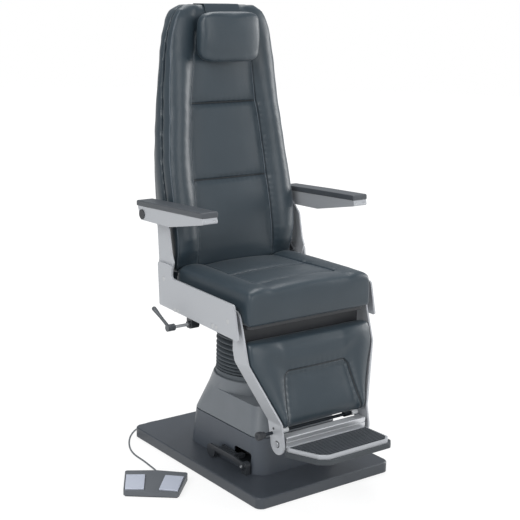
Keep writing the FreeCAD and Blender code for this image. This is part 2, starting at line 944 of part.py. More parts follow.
def cord_gland():
    start = V(gland_x, base_rear_y, gland_z)
    nut = rod(gland_radius, start, V(0, 1, 0), gland_length / 3)
    cone = Part.makeCone(gland_radius * 0.8, gland_tip_radius, gland_length * 2 / 3,
                         start + V(0, gland_length / 3, 0), V(0, 1, 0))
    stem = rod(gland_radius - 3 * flat_gap, start - V(0, base_wall, 0), V(0, 1, 0), base_wall)
    return nut.fuse([cone, stem]).removeSplitter()


# Turning head
def swivel_bearing():
    return ring(bearing_radius, spindle_radius + run_gap, head_top, bearing_top)


def swivel_hub():
    spindle = rod(spindle_radius, V(0, 0, head_top + flat_gap), V(0, 0, 1), bearing_height)
    flange = rod(hub_radius, V(0, 0, hub_bottom), V(0, 0, 1), hub_thick)
    return spindle.fuse(flange).removeSplitter()


# Seat frame
def seat_frame():
    def bar(x0, x1, y0, y1):
        return Part.makeBox(x1 - x0, y1 - y0, beam_high, V(x0, y0, hub_top))

    half = beam_wide / 2
    pieces = [bar(-side_inner, side_inner, beam_rear_y - half, beam_rear_y + half)]
    for side in (-1, 1):
        middle = side * rail_x
        pieces.append(bar(middle - half, middle + half, beam_front_y, beam_rear_y))
    frame = bar(-side_inner, side_inner, beam_front_y - half, beam_front_y + half).fuse(pieces)
    return frame.removeSplitter()


def seat_pan():
    half = seat_half - pan_side_inset
    corners = rectangle(half, seat_front_y + pan_inset, seat_rear_y - pan_inset)
    board = plate_along_z(corners, pan_inset, frame_top, pan_top)
    skirt = Part.makeBox(2 * half, sheet, pan_top - skirt_bottom, V(-half, skirt_y - sheet, skirt_bottom))
    return board.fuse(skirt).removeSplitter()


def side_plate_outline():
    points = [
        (plate_rear_y, plate_bottom_rear_z), (plate_rear_top_y, upright_top_z),
        (upright_front_y, upright_top_z), (upright_front_y - plate_corner / 2, plate_top_z),
        (plate_front_top_y, plate_front_top_z), (plate_front_bottom_y, plate_bottom_front_z),
    ]
    corner = plate_corner
    radii = [corner / 2, corner, corner, plate_inner_corner, corner, corner / 2]
    return points, radii


def pin_bores(x0, x1):
    back = rod_x(hinge_pin_radius + seat_gap, x0, x1, back_pivot_y, back_pivot_z)
    leg = rod_x(hinge_pin_radius + seat_gap, x0, x1, leg_pivot_y, leg_pivot_z)
    return back.fuse(leg)


def side_plate():
    points, radii = side_plate_outline()
    plate = plate_along_x(points, radii, side_inner, side_outer)
    plate = plate.cut(pin_bores(side_inner - cut_over, side_outer + cut_over))
    for y, z in frame_screw_places():
        plate = plate.cut(rod_x(frame_screw_radius + seat_gap, side_inner - cut_over,
                                side_outer + cut_over, y, z))
        plate = plate.cut(rod_x(frame_screw_head + frame_screw_sink, side_outer - frame_screw_thick,
                                side_outer + cut_over, y, z))
    return plate


def frame_screw_places():
    z = hub_top + beam_high / 2
    quarter = beam_wide / 4
    return [(beam_front_y - quarter, z), (beam_front_y + quarter, z),
            (beam_rear_y - quarter, z), (beam_rear_y + quarter, z)]


def frame_screws():
    screws = []
    for side in (-1, 1):
        for y, z in frame_screw_places():
            shank = rod_x(frame_screw_radius, side * side_inner, side * side_outer, y, z)
            head = rod_x(frame_screw_head, side * (side_outer - frame_screw_thick),
                         side * side_outer, y, z)
            screws.append(shank.fuse(head).removeSplitter())
    return Part.makeCompound(screws)


def arm_post():
    points = [
        (post_lobe_y + post_head_radius, post_bottom_z), (plate_rear_y, post_bottom_z),
        (plate_rear_top_y, upright_top_z), (post_shoulder_rear_y, post_shoulder_z),
        (arm_pivot_y + post_head_radius, arm_pivot_z), (arm_pivot_y, arm_pivot_z + post_head_radius),
        (arm_pivot_y - post_head_radius, arm_pivot_z), (post_shoulder_front_y, post_shoulder_z),
        (post_lobe_y + plate_corner, post_lobe_z + 2 * plate_corner), (post_lobe_y, post_lobe_z),
    ]
    corner = plate_corner
    radii = [corner, corner, corner, corner, corner, corner, corner, 2 * corner, corner, corner]
    post = plate_along_x(points, radii, post_inner, side_inner)
    bore = rod_x(hinge_pin_radius + seat_gap, post_inner - cut_over, side_inner + cut_over,
                 back_pivot_y, back_pivot_z)
    arm_bore = rod_x(arm_pin_radius + seat_gap, post_inner - cut_over, side_inner + cut_over,
                     arm_pivot_y, arm_pivot_z)
    return post.cut(bore).cut(arm_bore)


def hinge_pins():
    pins = []
    for side in (-1, 1):
        lug_inner = lug_outer - lug_thick - flat_gap
        shank = rod_x(hinge_pin_radius, side * lug_inner, side * side_outer, back_pivot_y, back_pivot_z)
        head = rod_x(hinge_head_radius, side * (lug_inner - hinge_head_thick), side * lug_inner,
                     back_pivot_y, back_pivot_z)
        pins.append(shank.fuse(head).removeSplitter())
        shank = rod_x(hinge_pin_radius, side * (leg_outer - sheet), side * side_outer,
                      leg_pivot_y, leg_pivot_z)
        spacer = rod_x(leg_spacer_radius, side * (leg_outer + flat_gap), side * side_inner,
                       leg_pivot_y, leg_pivot_z)
        pins.append(shank.fuse(spacer).removeSplitter())
        post_pin = rod_x(arm_pin_radius, side * post_inner,
                         side * (arm_inner + arm_width - arm_wall), arm_pivot_y, arm_pivot_z)
        pins.append(post_pin)
    return Part.makeCompound(pins)


# Seat cushion: sections across the seat, from the front edge to the rear
def seat_section(y, half, bottom, top, panel_half, dip, crown, edge):
    side_low = V(half - seat_side_bulge, y, bottom)
    side_mid = V(half, y, bottom + (top - bottom) * 0.45)
    side_high = V(half - edge * 0.28, y, top - edge * 0.5)
    crest = V((half + panel_half) / 2, y, top)
    inner = V(panel_half, y, top - dip)
    middle = V(0, y, top - dip + crown)

    def flip(point):
        return V(-point.x, point.y, point.z)

    return Part.Wire([
        Part.Arc(side_low, side_mid, side_high).toShape(),
        Part.Arc(side_high, crest, inner).toShape(),
        Part.Arc(inner, middle, flip(inner)).toShape(),
        Part.Arc(flip(inner), flip(crest), flip(side_high)).toShape(),
        Part.Arc(flip(side_high), flip(side_mid), flip(side_low)).toShape(),
        Part.LineSegment(flip(side_low), side_low).toShape(),
    ])


def seat_cushion():
    bottom = pan_top + flat_gap
    top = seat_top_z
    edge = seat_edge_round
    dip = seat_panel_dip
    crown = seat_crown
    front = seat_front_y
    sections = []

    def add(y, drop=0, pull=0, raise_bottom=0, panel_dip=dip, panel_crown=crown):
        share = (y - seat_front_y) / (seat_rear_y - seat_front_y)
        panel = seat_panel_half + (seat_panel_rear_half - seat_panel_half) * share
        sections.append(seat_section(y, seat_half - pull, bottom + raise_bottom, top - drop,
                                     panel, panel_dip, panel_crown, edge))

    flat_dip = seat_seam_dip
    add(front, drop=edge * 0.95, pull=edge * 0.35, raise_bottom=edge * 0.3, panel_dip=flat_dip)
    add(front + edge * 0.1, drop=edge * 0.5, pull=edge * 0.12, panel_dip=flat_dip)
    add(front + edge * 0.45, drop=edge * 0.16, pull=0, panel_dip=flat_dip)
    add(front + edge, drop=edge * 0.03, panel_dip=flat_dip)
    add(seat_front_seam_y - seam_reach, panel_dip=flat_dip)
    for seam_y in (seat_front_seam_y, seat_middle_seam_y):
        if seam_y != seat_front_seam_y:
            add(seam_y - seam_reach)
        add(seam_y, panel_dip=dip + flat_dip, panel_crown=crown / 2)
        add(seam_y + seam_reach)
    add(seat_rear_y - edge, drop=edge * 0.05)
    add(seat_rear_y, drop=edge * 0.3, pull=edge * 0.2)
    return loft([wire for wire in sections])


# Backrest: level sections of the front pad, the panel and the rear pad share one outline
def back_profile():
    """Rows of height, half width, front face, panel half width, dip and roll."""
    rows = []
    span = back_top_z - back_bottom_z
    seams = [back_bottom_z + span * share for share in back_seam_shares]
    heights = [back_bottom_z]
    for seam in seams:
        heights = heights + [seam - seam_reach, seam, seam + seam_reach]
    for share in back_row_shares:
        heights.append(back_bottom_z + span * share)
    for z in sorted(heights):
        share = (z - back_bottom_z) / span
        half = back_half * along(back_width_shares, share)
        front = back_front_y + back_lean_run * along(back_rake_shares, share)
        panel = back_panel_low_half * along(back_panel_shares, share)
        panel = min(panel, half * back_panel_limit_share)
        dip = back_seam_dip if z in seams else 0
        rows.append((z, half, front, panel, dip, back_bolster * along(back_roll_shares, share)))
    return rows


def along(table, share):
    if share <= table[0][0]:
        return table[0][1]
    for low, high in zip(table, table[1:]):
        if share <= high[0]:
            part = (share - low[0]) / (high[0] - low[0])
            return low[1] + (high[1] - low[1]) * part
    return table[-1][1]


def back_section(z, half, front, rear, panel, dip, proud):
    thick = rear - front
    crown = min(back_crown - dip, proud + back_crown / 4)
    corner = V(half * 0.995, rear, z)
    shoulder_y = front - proud * 0.6 + thick * 0.1
    side = V(half, (rear + shoulder_y) / 2, z)
    shoulder = V(half * 0.985, shoulder_y, z)
    crest = V(panel * 0.45 + half * 0.55, front - proud, z)
    inner = V(panel, front + dip, z)
    middle = V(0, front + dip - crown, z)

    def flip(point):
        return V(-point.x, point.y, point.z)

    return Part.Wire([
        Part.Arc(corner, side, shoulder).toShape(),
        Part.Arc(shoulder, crest, inner).toShape(),
        Part.Arc(inner, middle, flip(inner)).toShape(),
        Part.Arc(flip(inner), flip(crest), flip(shoulder)).toShape(),
        Part.Arc(flip(shoulder), flip(side), flip(corner)).toShape(),
        Part.LineSegment(flip(corner), corner).toShape(),
    ])


def shell_rear_y(z):
    """The rear face of the rear pad on the middle plane at a height."""
    share = (z - back_bottom_z) / (back_top_z - back_bottom_z)
    rear = back_rear_y + back_rear_run * along(back_rear_shares, share)
    if z < back_top_z:
        return rear
    start = panel_front(back_front_y + back_lean_run) + back_panel_thick + flat_gap
    return start + (rear - start) * back_top_share


def panel_front(front):
    """The front face of the steel panel behind the front pad, for a pad's front face."""
    return front + back_front_thick


def back_cushion():
    wires = []
    for z, half, front, panel, dip, proud in back_profile():
        rear = panel_front(min(front, back_front_y + back_lean_run)) - flat_gap
        wires.append(back_section(z, half, front, rear, panel, dip, proud))
    return loft(wires)


def back_frame():
    inside = []
    for z, half, front, panel, dip, proud in back_profile():
        y = panel_front(min(front, back_front_y + back_lean_run))
        width = half - back_panel_inset
        corners = [V(-width, y, z), V(width, y, z),
                   V(width, y + back_panel_thick, z), V(-width, y + back_panel_thick, z)]
        inside.append(Part.makePolygon(corners + corners[:1]))
    panel = loft(inside)
    low_y = panel_front(back_front_y)
    lug_points = [
        (back_pivot_y - lug_radius, back_pivot_z - lug_radius),
        (low_y + back_panel_thick, lug_foot_z), (low_y + back_panel_thick, lug_root_z),
        (low_y + tie_setback, lug_root_z), (back_pivot_y - lug_radius, back_pivot_z + lug_radius)]
    corner = lug_radius
    pieces = []
    for side in (-1, 1):
        inner = side * (lug_outer - lug_thick)
        outer = side * lug_outer
        lug = plate_along_x(lug_points, [corner * 0.95, 0, 0, 0, corner * 0.95], inner, outer)
        tie = Part.makeBox(tie_reach, back_panel_thick - tie_setback, lug_root_z - back_bottom_z,
                           V(min(outer, outer - side * tie_reach), low_y + tie_setback, back_bottom_z))
        pieces.extend([lug, tie])
    frame = panel.fuse(pieces)
    bores = rod_x(hinge_pin_radius + run_gap, -lug_outer - cut_over, lug_outer + cut_over,
                  back_pivot_y, back_pivot_z)
    return frame.cut(bores)


def back_shell():
    """The rear pad: flush with the front pad at its sides, closed below the panel."""
    wires = []
    rows = back_profile()
    low = rows[0]
    extra = (back_shell_bottom_z, low[1] * 0.98, low[2], low[3], 0, 0)
    for z, half, front, panel, dip, proud in [extra] + rows:
        start = panel_front(min(front, back_front_y + back_lean_run)) + back_panel_thick + flat_gap
        wide = half - back_shell_inset
        thick = shell_rear_y(z) - start
        if z == extra[0]:
            start = start + back_shell_step
            thick = thick - 2 * back_shell_step
        corner = V(wide * 0.995, start, z)
        side = V(wide, start + thick * 0.45, z)
        hip = V(wide * 0.975, start + thick * 0.86, z)
        far = V(wide * 0.91, start + thick * 0.97, z)
        middle = V(0, start + thick, z)

        def flip(point):
            return V(-point.x, point.y, point.z)

        wires.append(Part.Wire([
            Part.Arc(corner, side, hip).toShape(),
            Part.LineSegment(hip, far).toShape(),
            Part.Arc(far, middle, flip(far)).toShape(),
            Part.LineSegment(flip(far), flip(hip)).toShape(),
            Part.Arc(flip(hip), flip(side), flip(corner)).toShape(),
            Part.LineSegment(flip(corner), corner).toShape(),
        ]))
    return loft(wires)


# Headrest
def surface_y(z):
    """The front of the back pad on the middle plane at a height."""
    rows = back_profile()
    table = [(row[0], row[2] + row[4] - (back_crown - row[4])) for row in rows]
    return along(table, z)


def headrest_pillow():
    top = pillow_bottom_z + pillow_height
    lean = math.tan(math.radians(pillow_lean))
    rear_low = min(surface_y(z) - lean * (z - pillow_bottom_z)
                   for z in (pillow_bottom_z, pillow_bottom_z + pillow_height / 2, top))
    rear_low = rear_low - pillow_stand
    shares = [(1.0, 0.30, 0.46), (0.985, 0.5, 0.62), (0.94, 0.72, 0.80), (0.84, 0.88, 0.92),
              (0.66, 0.96, 0.985), (0.4, 1.0, 1.0), (0.0, 1.0, 1.0)]
    rows = [(-s, t, h) for s, t, h in shares] + [(s, t, h) for s, t, h in reversed(shares[:-1])]
    wires = []
    for share, thick_share, high_share in rows:
        x = pillow_half * share
        thick = pillow_thick * thick_share
        high = pillow_height * high_share / 2
        middle_z = pillow_bottom_z + pillow_height / 2
        rear = rear_low + lean * pillow_height / 2 - (pillow_thick - thick) * 0.28
        front = rear - thick
        middle_y = (front + rear) / 2
        bottom_point = V(x, middle_y, middle_z - high)
        top_point = V(x, middle_y, middle_z + high)
        rear_b = V(x, rear, middle_z - high * 0.72)
        rear_t = V(x, rear, middle_z + high * 0.72)
        front_b = V(x, front + thick * 0.12, middle_z - high * 0.72)
        front_t = V(x, front + thick * 0.12, middle_z + high * 0.72)
        quarter = thick * 0.36
        low_rear = V(x, middle_y + quarter, middle_z - high * 0.93)
        low_front = V(x, middle_y - quarter, middle_z - high * 0.93)
        high_rear = V(x, middle_y + quarter, middle_z + high * 0.93)
        high_front = V(x, middle_y - quarter, middle_z + high * 0.93)
        wires.append(Part.Wire([
            Part.LineSegment(rear_t, rear_b).toShape(),
            Part.Arc(rear_b, low_rear, bottom_point).toShape(),
            Part.Arc(bottom_point, low_front, front_b).toShape(),
            Part.Arc(front_b, V(x, front, middle_z), front_t).toShape(),
            Part.Arc(front_t, high_front, top_point).toShape(),
            Part.Arc(top_point, high_rear, rear_t).toShape(),
        ]))
    return loft(wires)


def headrest_strap():
    rows = [row for row in back_profile() if row[0] > strap_front_z]
    heights = [strap_front_z] + [row[0] for row in rows]
    gap = flat_gap
    inner = [(surface_y(z) - gap, z) for z in heights]
    last_y, last_z = inner[-1]
    inner[-1] = (last_y, back_top_z + gap)
    panel_y = panel_front(back_front_y + back_lean_run) + back_panel_thick
    rear_heights = [row[0] for row in rows if strap_rear_z < row[0] < back_top_z]
    inner.append((shell_rear_y(back_top_z) + gap, back_top_z + gap))
    for z in reversed(rear_heights):
        inner.append((shell_rear_y(z) + gap, z))
    rear_low = shell_rear_y(strap_rear_z) + gap
    inner.append((rear_low, strap_rear_z))
    outer = []
    for y, z in inner:
        if z > back_top_z:
            shift = -strap_thick if y == inner[len(heights) - 1][0] else strap_thick
            outer.append((y + shift * 0.5, z + strap_thick))
        elif y < panel_y:
            outer.append((y - strap_thick, z))
        else:
            outer.append((y + strap_thick, z))
    points = inner + list(reversed(outer))
    band = plate_along_x(points, 0, -strap_half, strap_half)
    weight = Part.makeBox(2 * strap_half, strap_buckle_thick, strap_buckle_high,
                          V(-strap_half, rear_low, strap_rear_z - strap_buckle_high))
    return band.fuse(weight).removeSplitter()


# Armrests
def arm_outline(inset):
    return [
        (arm_rear_top_y - inset, arm_rear_top_z), (arm_rear_bottom_y - inset, arm_rear_bottom_z + inset),
        (arm_low_y, arm_low_z + inset), (arm_front_bottom_y + inset, arm_front_bottom_z + inset * 0.8),
        (arm_front_top_y + inset, arm_front_top_z),
    ]


def arm_bracket():
    outer = arm_inner + arm_width
    corner = plate_corner / 2
    body = plate_along_x(arm_outline(0), [0, 2 * corner, 4 * corner, corner, 0], arm_inner, outer)
    pocket = arm_outline(arm_wall)
    rear_y, rear_z = pocket[0]
    front_y, front_z = pocket[-1]
    pocket[0] = (rear_y, rear_z + cut_over)
    pocket[-1] = (front_y, front_z + cut_over)
    hollow = plate_along_x(pocket, [0, corner, 3 * corner, 0, 0], arm_inner + arm_wall, outer - arm_wall)
    body = body.cut(hollow)
    boss = rod_x(arm_boss_radius, arm_inner, outer, arm_pivot_y, arm_pivot_z)
    boss = boss.common(plate_along_x(arm_outline(0), 0, arm_inner, outer))
    bore = rod_x(arm_pin_radius + run_gap, arm_inner - cut_over, outer - arm_wall + flat_gap,
                 arm_pivot_y, arm_pivot_z)
    return body.fuse(boss).cut(bore).removeSplitter()


def arm_pad():
    slope_y = arm_front_top_y - arm_rear_top_y
    slope_z = arm_front_top_z - arm_rear_top_z
    length = math.hypot(slope_y, slope_z)
    out_y = slope_z / length
    up_z = -slope_y / length

    def along_top(distance, height):
        y = arm_rear_top_y + slope_y * distance / length
        z = arm_rear_top_z + slope_z * distance / length
        return y + out_y * height, z + up_z * height

    rear = -arm_pad_rear
    front = length + arm_pad_front
    points = [along_top(rear, 0), along_top(front, 0), along_top(front, arm_pad_thick),
              along_top(length / 2, arm_pad_thick + arm_pad_belly * 0.2), along_top(rear, arm_pad_thick)]
    round_r = arm_pad_round
    radii = [round_r * 0.5, round_r * 0.5, round_r, 0, round_r]
    x0 = arm_inner - arm_pad_side
    x1 = arm_inner + arm_width + arm_pad_side
    return plate_along_x(points, radii, x0, x1)


def arm_cap():
    outer = arm_inner + arm_width
    disc = rod_x(arm_cap_radius, outer, outer + arm_cap_thick, arm_pivot_y, arm_pivot_z)
    edges = [edge for edge in disc.Edges
             if abs(edge.BoundBox.XMax - outer - arm_cap_thick) < run_gap
             and edge.BoundBox.XLength < run_gap]
    return disc.makeFillet(arm_cap_thick / 3, edges)


# Clamp lever
def lever_bracket():
    outer = -bracket_half_x
    inner = outer + lug_length
    top = hub_top
    yz = [(lever_y - lug_half, lever_z - lug_drop), (lever_y + lug_half, lever_z - lug_drop),
          (lever_y + lug_half, top), (lever_y - lug_half, top)]
    body = plate_along_x(yz, [lug_drop * 0.9, lug_drop * 0.9, 0, 0], outer, inner)
    foot = Part.makeBox(lug_length, beam_rear_y + beam_wide / 2 - lever_y, beam_high / 2,
                        V(outer, lever_y, hub_top - beam_high / 2))
    body = body.fuse(foot)
    collar = rod_x(collar_disc_radius, outer - collar_disc_thick, outer, lever_y, lever_z)
    bore = rod_x(stud_radius + run_gap, outer - collar_disc_thick - cut_over, inner + cut_over,
                 lever_y, lever_z)
    return body.fuse(collar).cut(bore).removeSplitter()


def clamp_stud():
    rim = math.sqrt(head_radius ** 2 - (lever_y - stud_radius) ** 2)
    return rod_x(stud_radius, -lever_x, -rim - stud_tip_gap, lever_y, lever_z)


def clamp_lever():
    start = -lever_x - lever_hub_length / 2
    hub = rod_x(lever_hub_radius, start, start + lever_hub_length, lever_y, lever_z)
    angle = math.radians(lever_rise)
    way = V(0, math.cos(angle), math.sin(angle))
    centre_x = start + lever_hub_length / 3
    centre = V(centre_x, lever_y, lever_z)
    neck_end = centre + way * (lever_reach * 0.5) - V(lever_kink * 0.3, 0, 0)
    tip = centre + way * lever_reach - V(lever_kink * 0.6, 0, 0)
    neck_way = neck_end - centre
    neck = Part.makeCone(lever_neck_radius, lever_neck_radius * 0.9, neck_way.Length, centre, neck_way)
    grip_way = tip - neck_end
    grip = Part.makeCone(lever_neck_radius * 0.9, lever_knob_radius, grip_way.Length, neck_end, grip_way)
    joint = Part.makeSphere(lever_neck_radius, neck_end)
    end = Part.makeSphere(lever_knob_radius, tip)
    lever = hub.fuse([neck, joint, grip, end])
    bore = rod_x(stud_radius + seat_gap, -lever_x - flat_gap, start + lever_hub_length + cut_over,
                 lever_y, lever_z)
    return lever.cut(bore)


# Leg rest
def offset_chain(points, distance):
    """Points of a chain moved sideways by a distance, mitred at its bends."""
    moved_points = []
    count = len(points)
    for i in range(count):
        way_in = V(0, 0, 0)
        way_out = V(0, 0, 0)
        if i > 0:
            way_in = V(points[i][0] - points[i - 1][0], points[i][1] - points[i - 1][1], 0)
            way_in.normalize()
        if i < count - 1:
            way_out = V(points[i + 1][0] - points[i][0], points[i + 1][1] - points[i][1], 0)
            way_out.normalize()
        if i == 0:
            way_in = way_out
        if i == count - 1:
            way_out = way_in
        way = way_in + way_out
        way.normalize()
        side = V(-way.y, way.x, 0)
        stretch = distance / way.dot(way_in)
        moved_points.append((points[i][0] + side.x * stretch, points[i][1] + side.y * stretch))
    return moved_points


def leg_bar():
    high = leg_pivot_z + leg_bar_half + cut_over
    low = foot_pivot_z - leg_bar_half - cut_over
    chain = [(leg_outer, high), (leg_outer, leg_upper_bend_z), (leg_low_outer, leg_lower_bend_z),
             (leg_low_outer, low)]
    inner = offset_chain(chain, -sheet)
    loop = chain + list(reversed(inner))
    radii = [0, leg_bend_radius, leg_bend_radius - sheet, 0, 0, leg_bend_radius, leg_bend_radius, 0]
    deep = leg_bar_half * 8
    start_y = foot_pivot_y - deep / 2
    wire = outline([V(x, start_y, z) for x, z in loop], radii)
    bent = Part.Face(wire).extrude(V(0, deep, 0))
    centres = [(leg_pivot_y, leg_pivot_z), (leg_upper_bend_y, leg_upper_bend_z),
               (leg_lower_bend_y, leg_lower_bend_z), (foot_pivot_y, foot_pivot_z)]
    left = offset_chain(centres, leg_bar_half)
    right = offset_chain(centres, -leg_bar_half)
    side_loop = left + list(reversed(right))
    bend = leg_profile_corner
    profile = plate_along_x(side_loop, [0, bend, bend, 0, 0, bend, bend, 0], 0, leg_outer + cut_over)
    ends = [rod_x(leg_bar_half, 0, leg_outer + cut_over, leg_pivot_y, leg_pivot_z),
            rod_x(leg_bar_half, 0, leg_outer + cut_over, foot_pivot_y, foot_pivot_z)]
    profile = profile.fuse(ends).removeSplitter()
    bar = bent.common(profile)
    bar = bar.cut(rod_x(hinge_pin_radius + run_gap, 0, side_outer, leg_pivot_y, leg_pivot_z))
    bar = bar.cut(rod_x(lock_radius + run_gap, 0, side_outer, lock_y, lock_z))
    return bar.cut(rod_x(foot_pin_radius + seat_gap, 0, side_outer, foot_pivot_y, foot_pivot_z))


def leg_front_y(z):
    share = (leg_cushion_top_z - z) / (leg_cushion_top_z - leg_cushion_bottom_z)
    return leg_front_top_y - leg_front_run * along(leg_face_shares, share)


def leg_board():
    top = leg_cushion_top_z - leg_recess_step
    bottom = leg_cushion_bottom_z + leg_recess_step
    bend_in = offset_chain([(leg_outer, top), (leg_outer, leg_upper_bend_z),
                            (leg_low_outer, leg_lower_bend_z), (leg_low_outer, bottom)], -sheet)
    half_points = bend_in
    loop = half_points + [(-x, z) for x, z in reversed(half_points)]
    bend = leg_bend_radius
    radii = [0, bend, bend - sheet, 0, 0, bend - sheet, bend, 0]
    radii[1] = bend
    radii[6] = bend
    deep = leg_bar_half * 8
    wire = outline([V(x, foot_pivot_y - deep / 2, z) for x, z in loop], radii)
    blank = Part.Face(wire).extrude(V(0, deep, 0))
    back = leg_cushion_thick + flat_gap
    span = top - bottom
    heights = [top - span * share for share, drop in leg_face_shares]
    face = [(leg_front_y(z) + back, z) for z in heights]
    rear = [(y + leg_board_thick, z) for y, z in reversed(face)]
    slab = plate_along_x(face + rear, 0, -side_outer, side_outer)
    return blank.common(slab)


def leg_half(z):
    """Half the cushion's width at a height: the bars' inner faces less a gap."""
    outside = [(leg_low_outer, foot_pivot_z), (leg_low_outer, leg_lower_bend_z),
               (leg_outer, leg_upper_bend_z), (leg_outer, leg_pivot_z)]
    inside = offset_chain(outside, sheet)
    return along([(point[1], point[0]) for point in inside], z) - leg_cushion_gap


def leg_section(z, pull, recess_half, deep, crown):
    half = leg_half(z) - pull
    front = leg_front_y(z) + pull * 0.6
    rear = leg_front_y(z) + leg_cushion_thick - pull * 0.75
    thick = rear - front
    corner = V(half - leg_side_pull, rear, z)
    side = V(half, front + thick * 0.5, z)
    shoulder = V(half - leg_side_pull * 0.5, front + thick * 0.12, z)
    crest = V(recess_half + (half - recess_half) * 0.55, front - crown, z)
    inner = V(recess_half, front + deep * 0.2, z)
    floor_edge = V(recess_half - leg_recess_step / 2, front + deep, z)
    middle = V(0, front + deep - crown / 2, z)

    def flip(point):
        return V(-point.x, point.y, point.z)

    return Part.Wire([
        Part.Arc(corner, side, shoulder).toShape(),
        Part.Arc(shoulder, crest, inner).toShape(),
        Part.LineSegment(inner, floor_edge).toShape(),
        Part.Arc(floor_edge, middle, flip(floor_edge)).toShape(),
        Part.LineSegment(flip(floor_edge), flip(inner)).toShape(),
        Part.Arc(flip(inner), flip(crest), flip(shoulder)).toShape(),
        Part.Arc(flip(shoulder), flip(side), flip(corner)).toShape(),
        Part.LineSegment(flip(corner), corner).toShape(),
    ])


def leg_cushion():
    top = leg_cushion_top_z
    bottom = leg_cushion_bottom_z
    step = leg_recess_step
    rows = [(bottom, 3 * leg_side_pull), (bottom + step / 2, leg_side_pull), (leg_lower_bend_z, 0),
            (leg_lower_bend_z + step, 0), (leg_lower_bend_z + 5 * step, 0),
            (leg_recess_top_z - 4 * step, 0), (leg_recess_top_z - step, 0), (leg_recess_top_z, 0),
            (leg_recess_top_z + step, 0), (leg_upper_bend_z, 0), (top - 2 * step, 0),
            (top - step / 2, leg_side_pull / 2), (top, 2 * leg_side_pull)]
    wires = []
    for z, pull in rows:
        share = (z - bottom) / (leg_recess_top_z - bottom)
        recess = leg_recess_bottom_half + (leg_recess_top_half - leg_recess_bottom_half) * min(1, share)
        deep = leg_recess_deep
        if z >= leg_recess_top_z:
            deep = flat_gap
        recess = min(recess, leg_half(z) - pull - 2 * step / 3 - leg_side_pull)
        wires.append(leg_section(z, pull, recess, deep, leg_crown if pull == 0 else leg_crown / 2))
    return loft(wires)


def foot_pins():
    pins = []
    inner = leg_low_outer - sheet
    for side in (-1, 1):
        shank = rod_x(foot_pin_radius, side * (inner - foot_pin_reach), side * leg_low_outer,
                      foot_pivot_y, foot_pivot_z)
        head = rod_x(foot_pin_head, side * leg_low_outer, side * (leg_low_outer + foot_pin_thick),
                     foot_pivot_y, foot_pivot_z)
        pins.append(shank.fuse(head).removeSplitter())
    return Part.makeCompound(pins)


# Footrest
def footrest_profile():
    y0 = profile_front_y
    y1 = profile_rear_y
    yz = [(y0, profile_bottom_z), (y1, profile_bottom_z), (y1, profile_top_z), (y0, profile_top_z)]
    corner = profile_groove
    rear_corner = (y1 - y0) / 3
    body = plate_along_x(yz, [corner, rear_corner, rear_corner, corner], -profile_half, profile_half)
    rows = 2
    for i in range(rows):
        z = profile_bottom_z + (profile_top_z - profile_bottom_z) * (i + 1) / (rows + 1)
        groove = Part.makeBox(2 * (profile_half + cut_over), profile_groove_deep + cut_over,
                              profile_groove, V(-profile_half - cut_over, y0 - cut_over, z))
        body = body.cut(groove)
    reach = foot_pin_reach + flat_gap
    inner = leg_low_outer - sheet - reach
    for side in (-1, 1):
        body = body.cut(rod_x(foot_pin_radius + run_gap, side * inner, side * (profile_half + cut_over),
                              foot_pivot_y, foot_pivot_z))
    return body


def tray_loop(inset):
    """The tray's outline in its own plane, from the hinge forwards."""
    length = (profile_front_y - tray_front_y) / math.cos(math.radians(tray_tilt))
    front = -length + inset
    cut = tray_chamfer - inset / 2
    rear_half = tray_rear_half - inset
    front_half = tray_front_half - inset
    return [(rear_half, -inset), (front_half, front + cut), (front_half - cut, front),
            (-front_half + cut, front), (-front_half, front + cut), (-rear_half, -inset)]


def placed_tray(shape):
    shape = turned(shape, V(0, 0, 0), V(1, 0, 0), -tray_tilt)
    lean = tray_thick * math.sin(math.radians(tray_tilt))
    return moved(shape, V(0, profile_front_y - flat_gap - lean, tray_rear_z))


def tray_radii(inset):
    corner = tray_corner - inset / 3
    return [corner / 4, corner, corner, corner, corner, corner / 4]


def footrest_tray():
    body = plate_along_z(tray_loop(0), tray_radii(0), 0, tray_thick)
    pocket = plate_along_z(tray_loop(tray_rim), tray_radii(tray_rim), tray_thick - tray_pocket,
                           tray_thick + cut_over)
    return placed_tray(body.cut(pocket))


def footrest_mat():
    inset = tray_rim + flat_gap
    floor_z = tray_thick - tray_pocket
    mat = plate_along_z(tray_loop(inset), tray_radii(inset), floor_z, floor_z + mat_base)
    blank = plate_along_z(tray_loop(inset), tray_radii(inset), floor_z, floor_z + mat_base + mat_rib)
    depth = (profile_front_y - tray_front_y) - 2 * inset
    pitch = depth / mat_ribs
    ribs = []
    for i in range(mat_ribs):
        ribs.append(Part.makeBox(2 * tray_rear_half, pitch * 0.62, mat_base + mat_rib,
                                 V(-tray_rear_half, -inset - pitch * (i + 0.81), floor_z)))
    return placed_tray(mat.fuse(blank.common(Part.makeCompound(ribs))).removeSplitter())


def footrest_bumper():
    body = plate_along_z(tray_loop(-bumper_proud), tray_radii(-bumper_proud), -bumper_thick, 0)
    hollow = plate_along_z(tray_loop(bumper_wall), tray_radii(bumper_wall), -bumper_thick - cut_over,
                           cut_over)
    square = Part.makeBox(2 * side_outer, bumper_wall + 2 * cut_over, 2 * bumper_thick + cut_over,
                          V(-side_outer, -run_gap, -2 * bumper_thick))
    return placed_tray(body.cut(hollow).cut(square))


# Lock rod
def rod_collars():
    inner = leg_low_outer - sheet
    pieces = []
    for side, length in ((-1, lock_left_collar), (1, lock_right_collar)):
        tube = rod_x(lock_collar_radius, side * (inner - length), side * inner, lock_y, lock_z)
        bore = rod_x(lock_radius + run_gap, side * (inner - length - cut_over), side * (inner + cut_over),
                     lock_y, lock_z)
        pieces.append(tube.cut(bore))
    return Part.makeCompound(pieces)


